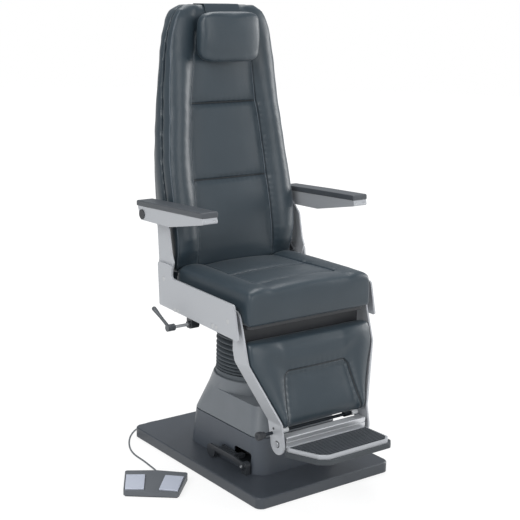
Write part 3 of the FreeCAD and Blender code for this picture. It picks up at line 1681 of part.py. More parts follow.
def lock_rod():
    bar = rod_x(lock_radius, -lock_outer_x, leg_low_outer, lock_y, lock_z)
    half = lock_catch_half
    yz = [(lock_y - half, lock_z - half), (lock_y + half, lock_z - half),
          (lock_y + half, lock_z + half), (lock_y - half, lock_z + half)]
    x0 = lock_catch_x - lock_catch_length / 2
    catch = plate_along_x(yz, half / 3, x0, x0 + lock_catch_length)
    return bar.fuse(catch).removeSplitter()


def rod_knob():
    x0 = -lock_outer_x
    body = rod_x(knob_radius, x0, x0 + knob_length, lock_y, lock_z)
    neck = rod_x(knob_waist, x0 + knob_length, x0 + knob_length + knob_waist, lock_y, lock_z)
    ends = [edge for edge in body.Edges if edge.BoundBox.XLength < run_gap]
    body = body.makeFillet(knob_length / 5, ends).fuse(neck)
    return body.cut(rod_x(lock_radius + seat_gap, x0 - cut_over, 0, lock_y, lock_z)).removeSplitter()


def build():
    os.makedirs("parts", exist_ok=True)
    save("base_cover", base_cover())
    save("base_plate", base_plate())
    save("floor_pads", floor_pads())
    save("outer_column", outer_column())
    save("column_screws", column_screws())
    save("column_bush", column_bush())
    save("column_glide", column_glide())
    save("inner_column", inner_column())
    save("lift_actuator", lift_actuator())
    save("lift_rod", lift_rod())
    save("control_box", control_box())
    save("lower_cover", lower_cover())
    save("upper_cover", upper_cover())
    save("bellows_collar", bellows_collar())
    save("bellows", bellows())
    save("pedal_bracket", pedal_bracket())
    save("brake_pedal", brake_pedal())
    save("switch_housing", switch_housing())
    save("switch_base", switch_base())
    save("switch_pedal_right", switch_pedal(-1))
    save("switch_pedal_left", switch_pedal(1))
    save("cord_gland", cord_gland())
    save("switch_cord", switch_cord())
    save("swivel_bearing", swivel_bearing())
    save("swivel_hub", swivel_hub())
    save("seat_frame", seat_frame())
    save("seat_pan", seat_pan())
    save("frame_screws", frame_screws())
    save("hinge_pins", hinge_pins())
    save("seat_cushion", seat_cushion())
    save("lever_bracket", lever_bracket())
    save("clamp_stud", clamp_stud())
    save("clamp_lever", clamp_lever())
    save("back_frame", back_frame())
    save("back_cushion", back_cushion())
    save("back_shell", back_shell())
    save("headrest_pillow", headrest_pillow())
    save("headrest_strap", headrest_strap())
    save("leg_board", leg_board())
    save("leg_cushion", leg_cushion())
    save("foot_pins", foot_pins())
    save("footrest_profile", footrest_profile())
    save("footrest_tray", footrest_tray())
    save("footrest_mat", footrest_mat())
    save("footrest_bumper", footrest_bumper())
    save("rod_collars", rod_collars())
    save("lock_rod", lock_rod())
    save("rod_knob", rod_knob())
    pairs = (("side_plate", side_plate()), ("arm_post", arm_post()), ("leg_bar", leg_bar()),
             ("arm_bracket", arm_bracket()), ("arm_pad", arm_pad()), ("arm_cap", arm_cap()))
    for name, shape in pairs:
        save(name + "_left", shape)
        save(name + "_right", mirrored(shape))


build()
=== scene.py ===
import math

import bmesh
import bpy
from mathutils import Matrix, Vector, noise
from mathutils.bvhtree import BVHTree
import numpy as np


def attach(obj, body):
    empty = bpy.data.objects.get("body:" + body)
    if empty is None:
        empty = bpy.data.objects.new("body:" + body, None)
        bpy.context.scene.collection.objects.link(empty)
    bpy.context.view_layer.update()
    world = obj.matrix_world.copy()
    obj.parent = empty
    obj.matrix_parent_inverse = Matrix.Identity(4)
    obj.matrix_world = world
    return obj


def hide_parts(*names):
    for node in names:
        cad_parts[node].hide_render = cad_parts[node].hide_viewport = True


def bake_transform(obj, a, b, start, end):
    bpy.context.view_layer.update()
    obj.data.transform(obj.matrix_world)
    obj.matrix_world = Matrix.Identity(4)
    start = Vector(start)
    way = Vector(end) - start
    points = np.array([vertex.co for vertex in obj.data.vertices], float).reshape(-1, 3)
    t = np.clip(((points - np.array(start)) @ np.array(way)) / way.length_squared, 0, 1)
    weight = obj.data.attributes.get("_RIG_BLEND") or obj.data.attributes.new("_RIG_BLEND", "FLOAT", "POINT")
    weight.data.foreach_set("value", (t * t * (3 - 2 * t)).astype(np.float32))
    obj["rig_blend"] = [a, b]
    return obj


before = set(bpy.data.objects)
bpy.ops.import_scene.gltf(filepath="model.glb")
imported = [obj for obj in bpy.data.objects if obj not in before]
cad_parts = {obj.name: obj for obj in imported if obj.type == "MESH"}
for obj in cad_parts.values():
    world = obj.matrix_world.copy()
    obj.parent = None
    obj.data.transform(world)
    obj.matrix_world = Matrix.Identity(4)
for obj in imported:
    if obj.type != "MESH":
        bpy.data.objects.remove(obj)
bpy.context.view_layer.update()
scene = bpy.context.scene
scene.view_settings.view_transform = "Standard"


# The room: a pale floor that fades into a pale white background, seen from the sitter's right
# and a little above the armrests, in the light of four large soft lamps.
def linear(colour):
    """The linear value of an sRGB hex colour, with an alpha of 1."""
    parts = [int(colour[i:i + 2], 16) / 255 for i in (1, 3, 5)]
    return tuple(p / 12.92 if p <= 0.04045 else ((p + 0.055) / 1.055) ** 2.4 for p in parts) + (1.0,)


def add(material, kind, sockets=None, **settings):
    """One node with its settings. A socket takes a value, or (node, output) as a link."""
    tree = material.node_tree
    made = tree.nodes.new("ShaderNode" + kind)
    for name, value in settings.items():
        setattr(made, name, value)
    for name, value in (sockets or {}).items():
        if isinstance(value, tuple) and isinstance(value[0], bpy.types.Node):
            tree.links.new(value[0].outputs[value[1]], made.inputs[name])
        else:
            made.inputs[name].default_value = value
    return made


def blank(name):
    """A new material with nothing but its output."""
    material = bpy.data.materials.new(name)
    material.use_nodes = True
    material.node_tree.nodes.clear()
    return material


def show(material, shader):
    """Gives the material's output its shader."""
    add(material, "OutputMaterial", {"Surface": shader})
    return material


def object_from(name, shape):
    """An object at the origin from a finished bmesh."""
    mesh = bpy.data.meshes.new(name)
    shape.to_mesh(mesh)
    shape.free()
    piece = bpy.data.objects.new(name, mesh)
    scene.collection.objects.link(piece)
    return piece


floor_reach = 14.0
floor_white = 0.8
floor_share = 0.26
shadow_reach, paper_reach = 0.7, 1.6
paper_glow = 1.1
paper = blank("room_paper")
seen = add(paper, "LightPath")
glossy = add(paper, "Math", {0: (seen, "Is Camera Ray"), 1: (seen, "Is Glossy Ray")}, operation="MAXIMUM")
rays = add(paper, "Math", {0: (glossy, "Value"), 1: (seen, "Is Transmission Ray")}, operation="MAXIMUM")
where = add(paper, "TexCoord")
far = add(paper, "VectorMath", {0: (where, "Object")}, operation="LENGTH")
glow = add(paper, "MapRange", {"Value": (far, "Value"), "From Min": shadow_reach,
                               "From Max": paper_reach, "To Min": 1 - floor_share, "To Max": 1.0})
share = add(paper, "Math", {0: (rays, "Value"), 1: (glow, "Result")}, operation="MULTIPLY")
lit = add(paper, "BsdfDiffuse", {"Color": (floor_white, floor_white, floor_white, 1)})
white = add(paper, "Emission", {"Color": (1, 1, 1, 1), "Strength": paper_glow})
both = add(paper, "MixShader", {0: (share, "Value"), 1: (lit, "BSDF"), 2: (white, "Emission")})
show(paper, (both, "Shader"))
sheet = bmesh.new()
bmesh.ops.create_circle(sheet, cap_ends=True, segments=64, radius=floor_reach)
floor = object_from("floor", sheet)
floor.data.materials.append(paper)

room = bpy.data.worlds.new("room_light")
scene.world = room
room.use_nodes = True
room.node_tree.nodes.clear()
path = add(room, "LightPath")
first = add(room, "Math", {0: (path, "Is Camera Ray"), 1: (path, "Is Glossy Ray")}, operation="MAXIMUM")
direct = add(room, "Math", {0: (first, "Value"), 1: (path, "Is Transmission Ray")}, operation="MAXIMUM")
fill = add(room, "Background", {"Color": (0.93, 0.97, 1, 1), "Strength": 0.36})
clear = add(room, "Background", {"Color": (1, 1, 1, 1), "Strength": 1.0})
mirrored = add(room, "Background", {"Color": (0.75, 0.78, 0.82, 1), "Strength": 0.55})
seen_or_mirrored = add(room, "MixShader", {0: (path, "Is Camera Ray"), 1: (mirrored, "Background"),
                                        2: (clear, "Background")})
sky = add(room, "MixShader", {0: (direct, "Value"), 1: (fill, "Background"), 2: (seen_or_mirrored, "Shader")})
add(room, "OutputWorld", {"Surface": (sky, "Shader")})

# the photograph's viewpoint, in metres and degrees
eye = Vector((-2.1735, -2.911, 1.5059))
eye_yaw, eye_pitch, eye_roll = math.radians(36.86), math.radians(13.19), math.radians(1.087)
lens_mm, film_mm = 80.75, 36.0
ahead = Vector((math.sin(eye_yaw) * math.cos(eye_pitch), math.cos(eye_yaw) * math.cos(eye_pitch),
                -math.sin(eye_pitch)))
level = Vector((math.cos(eye_yaw), -math.sin(eye_yaw), 0))
upward = level.cross(ahead)
across = level * math.cos(eye_roll) + upward * math.sin(eye_roll)
upright = upward * math.cos(eye_roll) - level * math.sin(eye_roll)
camera = bpy.data.objects.new("camera", bpy.data.cameras.new("camera"))
camera.data.lens = lens_mm
camera.data.sensor_width = film_mm
camera.data.sensor_height = film_mm
camera.data.sensor_fit = "HORIZONTAL"
camera.matrix_world = Matrix.Translation(eye) @ Matrix((across, upright, -ahead)).transposed().to_4x4()
scene.collection.objects.link(camera)
scene.camera = camera

lamp_target = Vector((0, 0, 0.75))
for name, place, size, watts in (("key", (-3.4, -1.2, 3.0), 2.2, 106), ("front", (0.0, -4.2, 2.1), 2.4, 62),
                                 ("top", (0.6, 0.9, 4.0), 2.4, 98), ("side", (3.9, -0.9, 1.6), 2.0, 100)):
    lamp = bpy.data.objects.new(name, bpy.data.lights.new(name, "AREA"))
    lamp.data.size = size
    lamp.data.energy = watts
    aim = lamp_target - Vector(place)
    lamp.matrix_world = Matrix.Translation(place) @ aim.to_track_quat("-Z", "Y").to_matrix().to_4x4()
    scene.collection.objects.link(lamp)


# The foot switch's cord: a soft round PVC cable that leaves a screwed gland in the back of
# the floor plate and lies on the floor in one easy curve to the switch.
cord_diameter = 0.0056
cord_exit = (-0.118, 0.365, 0.017)
cord_points = [
    cord_exit, (-0.120, 0.389, 0.0105), (-0.139, 0.409, 0.004), (-0.174, 0.410, 0.0029),
    (-0.219, 0.390, 0.0029), (-0.264, 0.354, 0.0029), (-0.303, 0.303, 0.0029), (-0.334, 0.243, 0.0029),
    (-0.347, 0.190, 0.0029), (-0.347, 0.132, 0.0029), (-0.352, 0.084, 0.003), (-0.359, 0.045, 0.007)]
switch_turn = math.radians(-38.9)
switch_middle = Vector((-0.429, -0.063, 0))
switch_rear, relief_length, gland_height = 0.0775, 0.018, 0.0098
for beyond in (relief_length, 0.0):
    reach = Matrix.Rotation(switch_turn, 3, "Z") @ Vector((0, switch_rear + beyond, gland_height))
    cord_points.append(tuple(switch_middle + reach))


def fine_grain(material, pitch, depth, extra=None):
    """A bump of pits a pitch apart and a depth deep, in metres. The real grain is about 0.3 mm
    apart, too fine to show, so every pitch is drawn about three to seven times as coarse."""
    where = add(material, "TexCoord")
    pits = add(material, "TexVoronoi", {"Scale": 1 / pitch, "Vector": (where, "Object")})
    haze = add(material, "TexNoise", {"Scale": 0.3 / pitch, "Detail": 3.0, "Vector": (where, "Object")})
    both_marks = add(material, "Math", {0: (pits, "Distance"), 1: (haze, "Fac")}, operation="ADD")
    sockets = {"Height": (both_marks, "Value"), "Distance": depth, "Strength": 0.6}
    if extra is not None:
        sockets["Normal"] = extra
    return add(material, "Bump", sockets)


def mottled(material, colour, other, size, detail=3.0):
    """Two close tones of one colour in soft patches of a size in metres."""
    where = add(material, "TexCoord")
    cloud = add(material, "TexNoise", {"Scale": 1 / size, "Detail": detail, "Vector": (where, "Object")})
    return add(material, "MixRGB", {"Fac": (cloud, "Fac"), "Color1": linear(colour), "Color2": linear(other)})


def moulded(name, colour, other, roughness, pitch=0.0012, depth=0.00012):
    """Injection moulded plastic with a spark-eroded grain: soft, even and nearly matt."""
    material = blank(name)
    tone = mottled(material, colour, other, 0.05)
    marks = fine_grain(material, pitch, depth)
    shader = add(material, "BsdfPrincipled", {
        "Base Color": (tone, "Color"), "Roughness": roughness, "IOR": 1.5, "Normal": (marks, "Normal")})
    return show(material, (shader, "BSDF"))


# soft extruded PVC: mid grey, with a dull shine and almost no grain
cable_pvc = moulded("grey_pvc_cable", "#5a5e62", "#64686c", 0.5, 0.0008, 0.00003)
line = bpy.data.curves.new("switch_cord_line", "CURVE")
line.dimensions = "3D"
spline = line.splines.new("NURBS")
spline.points.add(len(cord_points) - 1)
for point, place in zip(spline.points, cord_points):
    point.co = (*place, 1)
spline.order_u = 3
spline.use_endpoint_u = True
line.resolution_u = 24
line.bevel_depth = cord_diameter / 2
line.bevel_resolution = 5
line.materials.append(cable_pvc)
cord = bpy.data.objects.new("foot_switch_cord", line)
scene.collection.objects.link(cord)
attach(cord, "base")
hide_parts("switch_cord")


# The floor plate: a steel plate on seven rubber pads under a vacuum-formed ABS cover, whose
# top edge is rounded over and whose surface has a fine hide grain.
def copied(node, name):
    """A copy of a CAD piece with its loose triangles merged into clean faces."""
    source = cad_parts[node]
    shape = bmesh.new()
    shape.from_mesh(source.data)
    bmesh.ops.remove_doubles(shape, verts=shape.verts, dist=0.00001)
    bmesh.ops.dissolve_limit(shape, angle_limit=math.radians(0.4), verts=shape.verts, edges=shape.edges,
                             delimit={"NORMAL"})
    bmesh.ops.recalc_face_normals(shape, faces=shape.faces)
    return object_from(name, shape)


def smoothed(piece, angle=35):
    """Round faces shade smooth, and edges sharper than the angle stay crisp."""
    for face in piece.data.polygons:
        face.use_smooth = True
    piece.data.set_sharp_from_angle(angle=math.radians(angle))
    return piece


def edged(node, body, material, radius, steps=2, angle=40):
    """A hard piece as the CAD gives it, with every sharp edge broken to a small radius."""
    piece = copied(node, node + "_finished")
    for face in piece.data.polygons:
        face.use_smooth = True
    edge = piece.modifiers.new("broken_edges", "BEVEL")
    edge.width = radius
    edge.segments = steps
    edge.limit_method = "ANGLE"
    edge.angle_limit = math.radians(angle)
    edge.harden_normals = True
    edge.use_clamp_overlap = True
    level = piece.modifiers.new("level_faces", "WEIGHTED_NORMAL")
    level.mode = "FACE_AREA"
    level.weight = 100
    level.keep_sharp = True
    piece.data.materials.append(material)
    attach(piece, body)
    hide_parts(node)
    return piece


def coat(material, *nodes):
    """CAD pieces that keep their own shape take a material."""
    for name in nodes:
        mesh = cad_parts[name].data
        mesh.materials.clear()
        mesh.materials.append(material)
        for face in mesh.polygons:
            face.use_smooth = True
        mesh.set_sharp_from_angle(angle=math.radians(35))


# vacuum-formed ABS: dark blue-grey, evenly dull over a soft hide grain
plate_cover_abs = moulded("dark_grey_abs_hide_grain", "#363b41", "#3e434a", 0.42, 0.0022, 0.00016)
edged("base_cover", "base", plate_cover_abs, 0.002, 3, 25)
# moulded rubber: black and quite matt
pad_rubber = moulded("black_floor_pad_rubber", "#1d1e20", "#26272a", 0.8, 0.002, 0.0001)
# sprayed primer: mid grey, half matt, with a faint orange peel
primed_steel = moulded("grey_primed_steel", "#55585b", "#606366", 0.45, 0.0016, 0.00006)
coat(pad_rubber, "floor_pads")
coat(primed_steel, "base_plate", "column_screws", "outer_column")


# The lifting column: a ground steel tube that slides in a fixed one on acetal guides, with
# an electric actuator inside and its control box in front, all under the covers.
def turned_steel(name, colour, roughness, metal=1.0):
    """Steel turned or ground round its axis: fine marks about 1 mm apart make its shine uneven."""
    material = blank(name)
    where = add(material, "TexCoord")
    rings = add(material, "TexNoise", {"Scale": 900.0, "Detail": 2.0, "Vector": (where, "Object")})
    low_high = add(material, "MapRange", {"Value": (rings, "Fac"), "To Min": roughness * 0.8,
                                          "To Max": roughness * 1.25})
    shader = add(material, "BsdfPrincipled", {"Base Color": linear(colour), "Metallic": metal,
                                              "Roughness": (low_high, "Result")})
    return show(material, (shader, "BSDF"))


# ground and oiled: a clear bright grey with a broad soft shine
ground_steel = turned_steel("ground_oiled_steel", "#aeb1b4", 0.32)
# moulded acetal: milky white and smooth, with a waxy shine
acetal = moulded("pale_acetal", "#e4e7e9", "#eceef0", 0.35, 0.001, 0.00002)
# black ABS: dull, with a plain fine grain
box_abs = moulded("black_control_box_abs", "#26282b", "#2e3033", 0.55)
coat(ground_steel, "inner_column", "lift_rod")
# phosphated and oiled: a dark grey that hardly mirrors
bearing_steel = turned_steel("phosphated_bearing_steel", "#5c5f62", 0.45)
coat(bearing_steel, "swivel_bearing")
coat(acetal, "column_bush", "column_glide")
coat(box_abs, "control_box", "lift_actuator")


# The pedestal covers: two deep mouldings in one grey ABS, the lower painted darker as shade,
# with a slot for the brake pedal, the upper with rounded shoulders that run into a round neck.
# moulded with a spark-eroded grain: soft even light, no clear reflections
cover_abs = moulded("mid_grey_abs_fine_grain", "#666b70", "#6e7378", 0.4, 0.0016, 0.00014)
# the same ABS made darker: painted shade for the lower cover, which sits low and in shadow
lower_abs_painted_shade = moulded("grey_abs_fine_grain_painted_shade", "#424850", "#4a5058", 0.42, 0.0016, 0.00014)
edged("lower_cover", "base", lower_abs_painted_shade, 0.0012, 2, 50)
edged("upper_cover", "base", cover_abs, 0.0016, 2, 50)


# The bellows: a soft black pleated sleeve clipped to a collar on the neck and to the head
# plate. It stretches and folds as the seat goes up and down.
def neoprene(name, colour, other):
    """Moulded neoprene: nearly matt, with a faint grey bloom on it."""
    return moulded(name, colour, other, 0.6, 0.002, 0.0001)


# neoprene with a bloom: black that looks dark grey along each crest
bellows_rubber = neoprene("black_bellows_neoprene", "#454b50", "#4f555a")
bellows_foot, bellows_head = 0.301, 0.468
rib_count = 11
rib_first_share, rib_round_share = 0.62, 0.5
crest_radius, valley_radius, wall_thickness = 0.130, 0.1165, 0.002
weights = [rib_first_share + (1 - rib_first_share) * i * 2 / (rib_count - 1) for i in range(rib_count)]
pitch_scale = (bellows_head - bellows_foot) / sum(weights)
steps_per_rib = 10
sleeve = bmesh.new()
height = bellows_foot
profile = []
for weight in weights:
    rib = weight * pitch_scale
    for step in range(steps_per_rib):
        turn = 2 * math.pi * step / steps_per_rib
        swell = (0.5 - 0.5 * math.cos(turn)) ** rib_round_share
        radius = valley_radius + (crest_radius - valley_radius) * swell
        profile.append(sleeve.verts.new((radius, 0, height + rib * step / steps_per_rib)))
    height = height + rib
profile.append(sleeve.verts.new((valley_radius, 0, bellows_head)))
ribs = [sleeve.edges.new(pair) for pair in zip(profile, profile[1:])]
bmesh.ops.spin(sleeve, geom=profile + ribs, cent=(0, 0, 0), axis=(0, 0, 1), angle=2 * math.pi, steps=96,
               use_merge=True)
bmesh.ops.remove_doubles(sleeve, verts=sleeve.verts, dist=0.00001)
bmesh.ops.recalc_face_normals(sleeve, faces=sleeve.faces)
bellows = smoothed(object_from("bellows_sleeve", sleeve), 80)
wall = bellows.modifiers.new("wall", "SOLIDIFY")
wall.thickness = wall_thickness
wall.offset = -1
bellows.data.materials.append(bellows_rubber)
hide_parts("bellows")
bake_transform(bellows, "base", "lift", start=(0, 0, bellows_foot), end=(0, 0, bellows_head))
edged("bellows_collar", "base", bellows_rubber, 0.0015, 2, 40)


# The brake pedal: a black enamelled steel arm with a grooved tread, on a pin through a
# bracket that is screwed to the floor plate.
# stoved enamel: black and smooth, with clear small highlights
black_enamel = moulded("black_enamelled_steel", "#2c2f33", "#36393d", 0.28, 0.0012, 0.00004)
edged("pedal_bracket", "base", black_enamel, 0.001)
edged("brake_pedal", "pedal", black_enamel, 0.0012)


# The foot switch: a low grey ABS housing with two pale pedals, each in a dark well, on a
# black base plate, with a tapered relief where its cord goes in.
# ABS in mid grey and in a cool pale grey, and in black: all with an even, dull grain
switch_abs = moulded("grey_switch_housing_abs", "#54585d", "#5c6065", 0.5)
switch_pedal_abs = moulded("pale_switch_pedal_abs", "#aeb4c2", "#b8bdca", 0.45)
black_abs = moulded("black_fine_grain_abs", "#26282b", "#303236", 0.5)
edged("switch_housing", "base", switch_abs, 0.0022, 3)
edged("switch_pedal_left", "switch_left", switch_pedal_abs, 0.0012)
edged("switch_pedal_right", "switch_right", switch_pedal_abs, 0.0012)
edged("cord_gland", "base", black_abs, 0.0006)
coat(black_abs, "switch_base")


# The turning head and the seat frame: welded steel in grey primer, bolted to the side
# plates, with a black pan on top whose front is turned down over the frame.
coat(primed_steel, "swivel_hub", "seat_frame", "back_frame", "leg_board")
edged("seat_pan", "seat", black_abs, 0.001)


# The side plates, arm posts, leg bars and arm channels: laser-cut and bent steel with a
# silver grey powder coat, satin, with a faint sparkle and bright broken edges.
def powder_coat(name, colour, other):
    """Aluminium-filled powder: a satin grey with a sparkle of flakes and a fine orange peel,
    both drawn at 1.2 and 2.4 mm, about twice as coarse as they are."""
    material = blank(name)
    flake_size, peels_per_metre, peel_depth = 0.0012, 420.0, 0.00008
    tone = mottled(material, colour, other, flake_size, 2.0)
    where = add(material, "TexCoord")
    peel = add(material, "TexNoise", {"Scale": peels_per_metre, "Detail": 2.0, "Vector": (where, "Object")})
    relief = add(material, "Bump", {"Height": (peel, "Fac"), "Distance": peel_depth, "Strength": 0.5})
    shader = add(material, "BsdfPrincipled", {
        "Base Color": (tone, "Color"), "Metallic": 0.35, "Roughness": 0.42, "Normal": (relief, "Normal")})
    return show(material, (shader, "BSDF"))


silver_coat = powder_coat("silver_grey_powder_coat", "#a8abaf", "#b2b4b8")
for side in ("left", "right"):
    edged("side_plate_" + side, "seat", silver_coat, 0.0012)
    edged("arm_post_" + side, "seat", silver_coat, 0.0012)
    edged("leg_bar_" + side, "leg_rest", silver_coat, 0.0012)
    edged("arm_bracket_" + side, "armrest_" + side, silver_coat, 0.0008)
# zinc plate: pale bluish grey with a soft shine
zinc_steel = turned_steel("zinc_plated_steel", "#b8babc", 0.32)
edged("frame_screws", "seat", zinc_steel, 0.0006)
edged("hinge_pins", "seat", zinc_steel, 0.0006)
edged("foot_pins", "leg_rest", zinc_steel, 0.0006)


# The armrest pads: integral-skin foam moulded over a steel strip, dark grey, with a fine
# leather grain and well rounded edges. A black cap closes each armrest's pivot.
# integral skin: dark grey with a soft leather-like shine
skin_foam = moulded("dark_grey_integral_skin_foam", "#3c4045", "#464a4f", 0.42, 0.0018, 0.00016)
for side in ("left", "right"):
    edged("arm_pad_" + side, "armrest_" + side, skin_foam, 0.005, 4, 50)
    edged("arm_cap_" + side, "armrest_" + side, black_abs, 0.0008)


# The clamp lever that locks the turning seat: a black die-cast handle on a steel stud that
# runs through a bracket and presses on the head plate's rim.
# powder-coated zinc: black worn to dark grey, with a soft shine
cast_zinc = moulded("black_die_cast_zinc", "#43474b", "#4d5155", 0.34)
edged("clamp_lever", "lever", cast_zinc, 0.001, 2, 30)
edged("lever_bracket", "seat", black_enamel, 0.001)
# new zinc plate: the palest of the steels, and dull enough to stay pale in shade
stud_steel = turned_steel("bright_zinc_plated_stud", "#c2c5c8", 0.42, 0.5)
coat(stud_steel, "clamp_stud")


# The upholstery: foam on steel panels under smooth slate-blue leatherette. Its panels are
# sewn, so the surface swells between seams and is drawn in hard along them. Painted shade
# darkens the seam grooves, and a painted highlight lightens the welts.
def leatherette(name, colour, other, seam_shade_colour, welt_highlight_colour):
    """Vinyl-coated fabric: a dark satin with soft creases about 40 mm across, with painted shade
    along the seam grooves and a painted highlight on the welts. Its hide grain of 0.5 mm is
    drawn at 1.6 mm, so that it shows."""
    material = blank(name)
    tint_size, creases_per_metre, crease_depth = 0.09, 26.0, 0.0009
    grain_pitch, grain_depth = 0.0016, 0.00016
    tone = mottled(material, colour, other, tint_size)
    # the seam attribute lays a painted shade into the seam grooves
    seam_shade_mark = add(material, "Attribute", attribute_name="seam")
    seam_shaded = add(material, "MixRGB", {"Fac": (seam_shade_mark, "Fac"), "Color1": (tone, "Color"),
                                    "Color2": linear(seam_shade_colour)})
    # the welt attribute lays a painted highlight on the round welts
    welt_highlight_mark = add(material, "Attribute", attribute_name="welt")
    welt_highlighted = add(material, "MixRGB", {"Fac": (welt_highlight_mark, "Fac"), "Color1": (seam_shaded, "Color"),
                                       "Color2": linear(welt_highlight_colour)})
    where = add(material, "TexCoord")
    creases = add(material, "TexNoise", {"Scale": creases_per_metre, "Detail": 4.0, "Roughness": 0.55,
                                         "Vector": (where, "Object")})
    soft = add(material, "Bump", {"Height": (creases, "Fac"), "Distance": crease_depth, "Strength": 0.35})
    marks = fine_grain(material, grain_pitch, grain_depth, (soft, "Normal"))
    shader = add(material, "BsdfPrincipled", {
        "Base Color": (welt_highlighted, "Color"), "Roughness": 0.42, "IOR": 1.5, "Normal": (marks, "Normal"),
        "Sheen Weight": 0.05, "Sheen Roughness": 0.4})
    return show(material, (shader, "BSDF"))


# the last two colours: painted shade in the seam grooves, a painted highlight on the welts
slate_leatherette = leatherette("slate_blue_leatherette", "#243038", "#2c3840", "#14181c", "#4c565f")
cloth_voxel = 0.0075
held_reach, swell_limit = 0.012, 0.007
swell_frames, calming_turns = 16, 10


def seam_distance(point, seams):
    """How far a flat point lies from the nearest seam, and how far along it."""
    best, along_it = 1.0, 0.0
    for seam in seams:
        run = 0.0
        for a, b in zip(seam, seam[1:]):
            side = (b[0] - a[0], b[1] - a[1])
            length = math.hypot(*side)
            t = ((point[0] - a[0]) * side[0] + (point[1] - a[1]) * side[1]) / (length * length)
            t = max(0.0, min(1.0, t))
            gap = math.hypot(point[0] - a[0] - side[0] * t, point[1] - a[1] - side[1] * t)
            if gap < best:
                best, along_it = gap, run + t * length
            run = run + length
    return best, along_it


def flat_of(point, plane):
    """A point's two coordinates in the plane in which a piece's seams are drawn."""
    return (point.x, point.z) if plane == "xz" else (point.x, point.y)


def stuffed(node, name, body, seams, plane, faces, puff, backing, groove=0.0035, width=0.003,
            pucker=0.00025, welts=(), between_plates=False):
    """A padded piece: remeshed, blown up as cloth between its seams, then sewn along them. It
    stays flat on its backing, and at its sides too where it sits between steel plates."""
    piece = copied(node, name)
    remesh = piece.modifiers.new("remesh", "REMESH")
    remesh.mode = "VOXEL"
    remesh.voxel_size = cloth_voxel
    even = piece.modifiers.new("even", "SMOOTH")
    even.factor = 0.5
    even.iterations = 4
    bake(piece)
    rest = [vertex.co.copy() for vertex in piece.data.vertices]
    held = piece.vertex_groups.new(name="held")
    for vertex in piece.data.vertices:
        gap = seam_distance(flat_of(vertex.co, plane), seams)[0]
        outward = vertex.normal.dot(faces)
        weight = math.exp(-(gap / held_reach) ** 2) if outward > 0.2 else 0.0
        if vertex.normal.dot(backing) > 0.8 or between_plates and abs(vertex.normal.x) > 0.6:
            weight = 1.0
        held.add([vertex.index], weight, "REPLACE")
    cloth = piece.modifiers.new("cloth", "CLOTH")
    cloth.settings.quality = 5
    cloth.settings.mass = 0.3
    cloth.settings.tension_stiffness = 18
    cloth.settings.compression_stiffness = 18
    cloth.settings.shear_stiffness = 8
    cloth.settings.bending_stiffness = 0.6
    cloth.settings.use_pressure = True
    cloth.settings.uniform_pressure_force = puff
    cloth.settings.vertex_group_mass = "held"
    cloth.settings.effector_weights.gravity = 0
    cloth.collision_settings.use_collision = False
    cloth.point_cache.frame_start = 1
    cloth.point_cache.frame_end = swell_frames
    for moment in range(1, swell_frames + 1):
        scene.frame_set(moment)
    bake(piece)
    scene.frame_set(1)
    beside = [[] for start in rest]
    for edge in piece.data.edges:
        a, b = edge.vertices
        beside[a].append(b)
        beside[b].append(a)
    moves = [vertex.co - start for vertex, start in zip(piece.data.vertices, rest)]
    for turn in range(calming_turns):
        moves = [(move + sum((moves[i] for i in near), Vector()) / len(near)) / 2
                 for move, near in zip(moves, beside)]
    for vertex, start, move in zip(piece.data.vertices, rest, moves):
        vertex.co = start + move * min(1.0, swell_limit / max(move.length, 0.00001))
    finer = piece.modifiers.new("finer", "SUBSURF")
    finer.levels = 1
    finer.render_levels = 1
    bake(piece)
    sew(piece, seams, plane, faces, groove, width, pucker, welts)
    for face in piece.data.polygons:
        face.use_smooth = True
    piece.data.materials.clear()
    piece.data.materials.append(slate_leatherette)
    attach(piece, body)
    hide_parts(node)
    return piece


def bake(piece):
    """Applies a piece's modifiers and drops its vertex groups."""
    bpy.context.view_layer.update()
    solved = piece.evaluated_get(bpy.context.evaluated_depsgraph_get())
    mesh = bpy.data.meshes.new_from_object(solved)
    piece.modifiers.clear()
    piece.data = mesh
    piece.vertex_groups.clear()


def piped(shape, line, plane, faces, radius=0.0016, pitch=0.007, sides=8):
    """Lays a round welt along a flat line on the surface, as part of the same mesh, with its
    vertices marked for a painted highlight. The line is dropped on to the surface from well
    outside it and then evened three times."""
    well_outside, sunk_share = 3.0, 0.2
    tree = BVHTree.FromBMesh(shape)
    welt_highlight_mark = shape.verts.layers.float["welt"]
    spots = []
    for a, b in zip(line, line[1:]):
        count = max(1, round(math.hypot(b[0] - a[0], b[1] - a[1]) / pitch))
        spots = spots + [(a[0] + (b[0] - a[0]) * i / count, a[1] + (b[1] - a[1]) * i / count)
                         for i in range(count)]
    track = []
    for u, v in spots + [line[-1]]:
        above = (Vector((u, v, 0)) if plane == "xy" else Vector((u, 0, v))) + faces * well_outside
        place = tree.ray_cast(above, -faces)[0]
        if place is not None:
            track.append(place + faces * radius * sunk_share)
    for turn in range(3):
        track = track[:1] + [(a + b * 2 + c) / 4 for a, b, c in zip(track, track[1:], track[2:])] + track[-1:]
    rings = []
    for i, place in enumerate(track):
        way = (track[min(i + 1, len(track) - 1)] - track[max(i - 1, 0)]).normalized()
        beside = way.cross(faces).normalized()
        rise = beside.cross(way)
        turns = [2 * math.pi * step / sides for step in range(sides)]
        rings.append([shape.verts.new(place + (beside * math.cos(t) + rise * math.sin(t)) * radius)
                      for t in turns])
        for vertex in rings[-1]:
            # marks the welt for its painted highlight
            vertex[welt_highlight_mark] = 1.0
    for low, high in zip(rings, rings[1:]):
        for step in range(sides):
            after = (step + 1) % sides
            shape.faces.new((low[step], low[after], high[after], high[step]))
    shape.faces.new(rings[0])
    shape.faces.new(rings[-1][::-1])


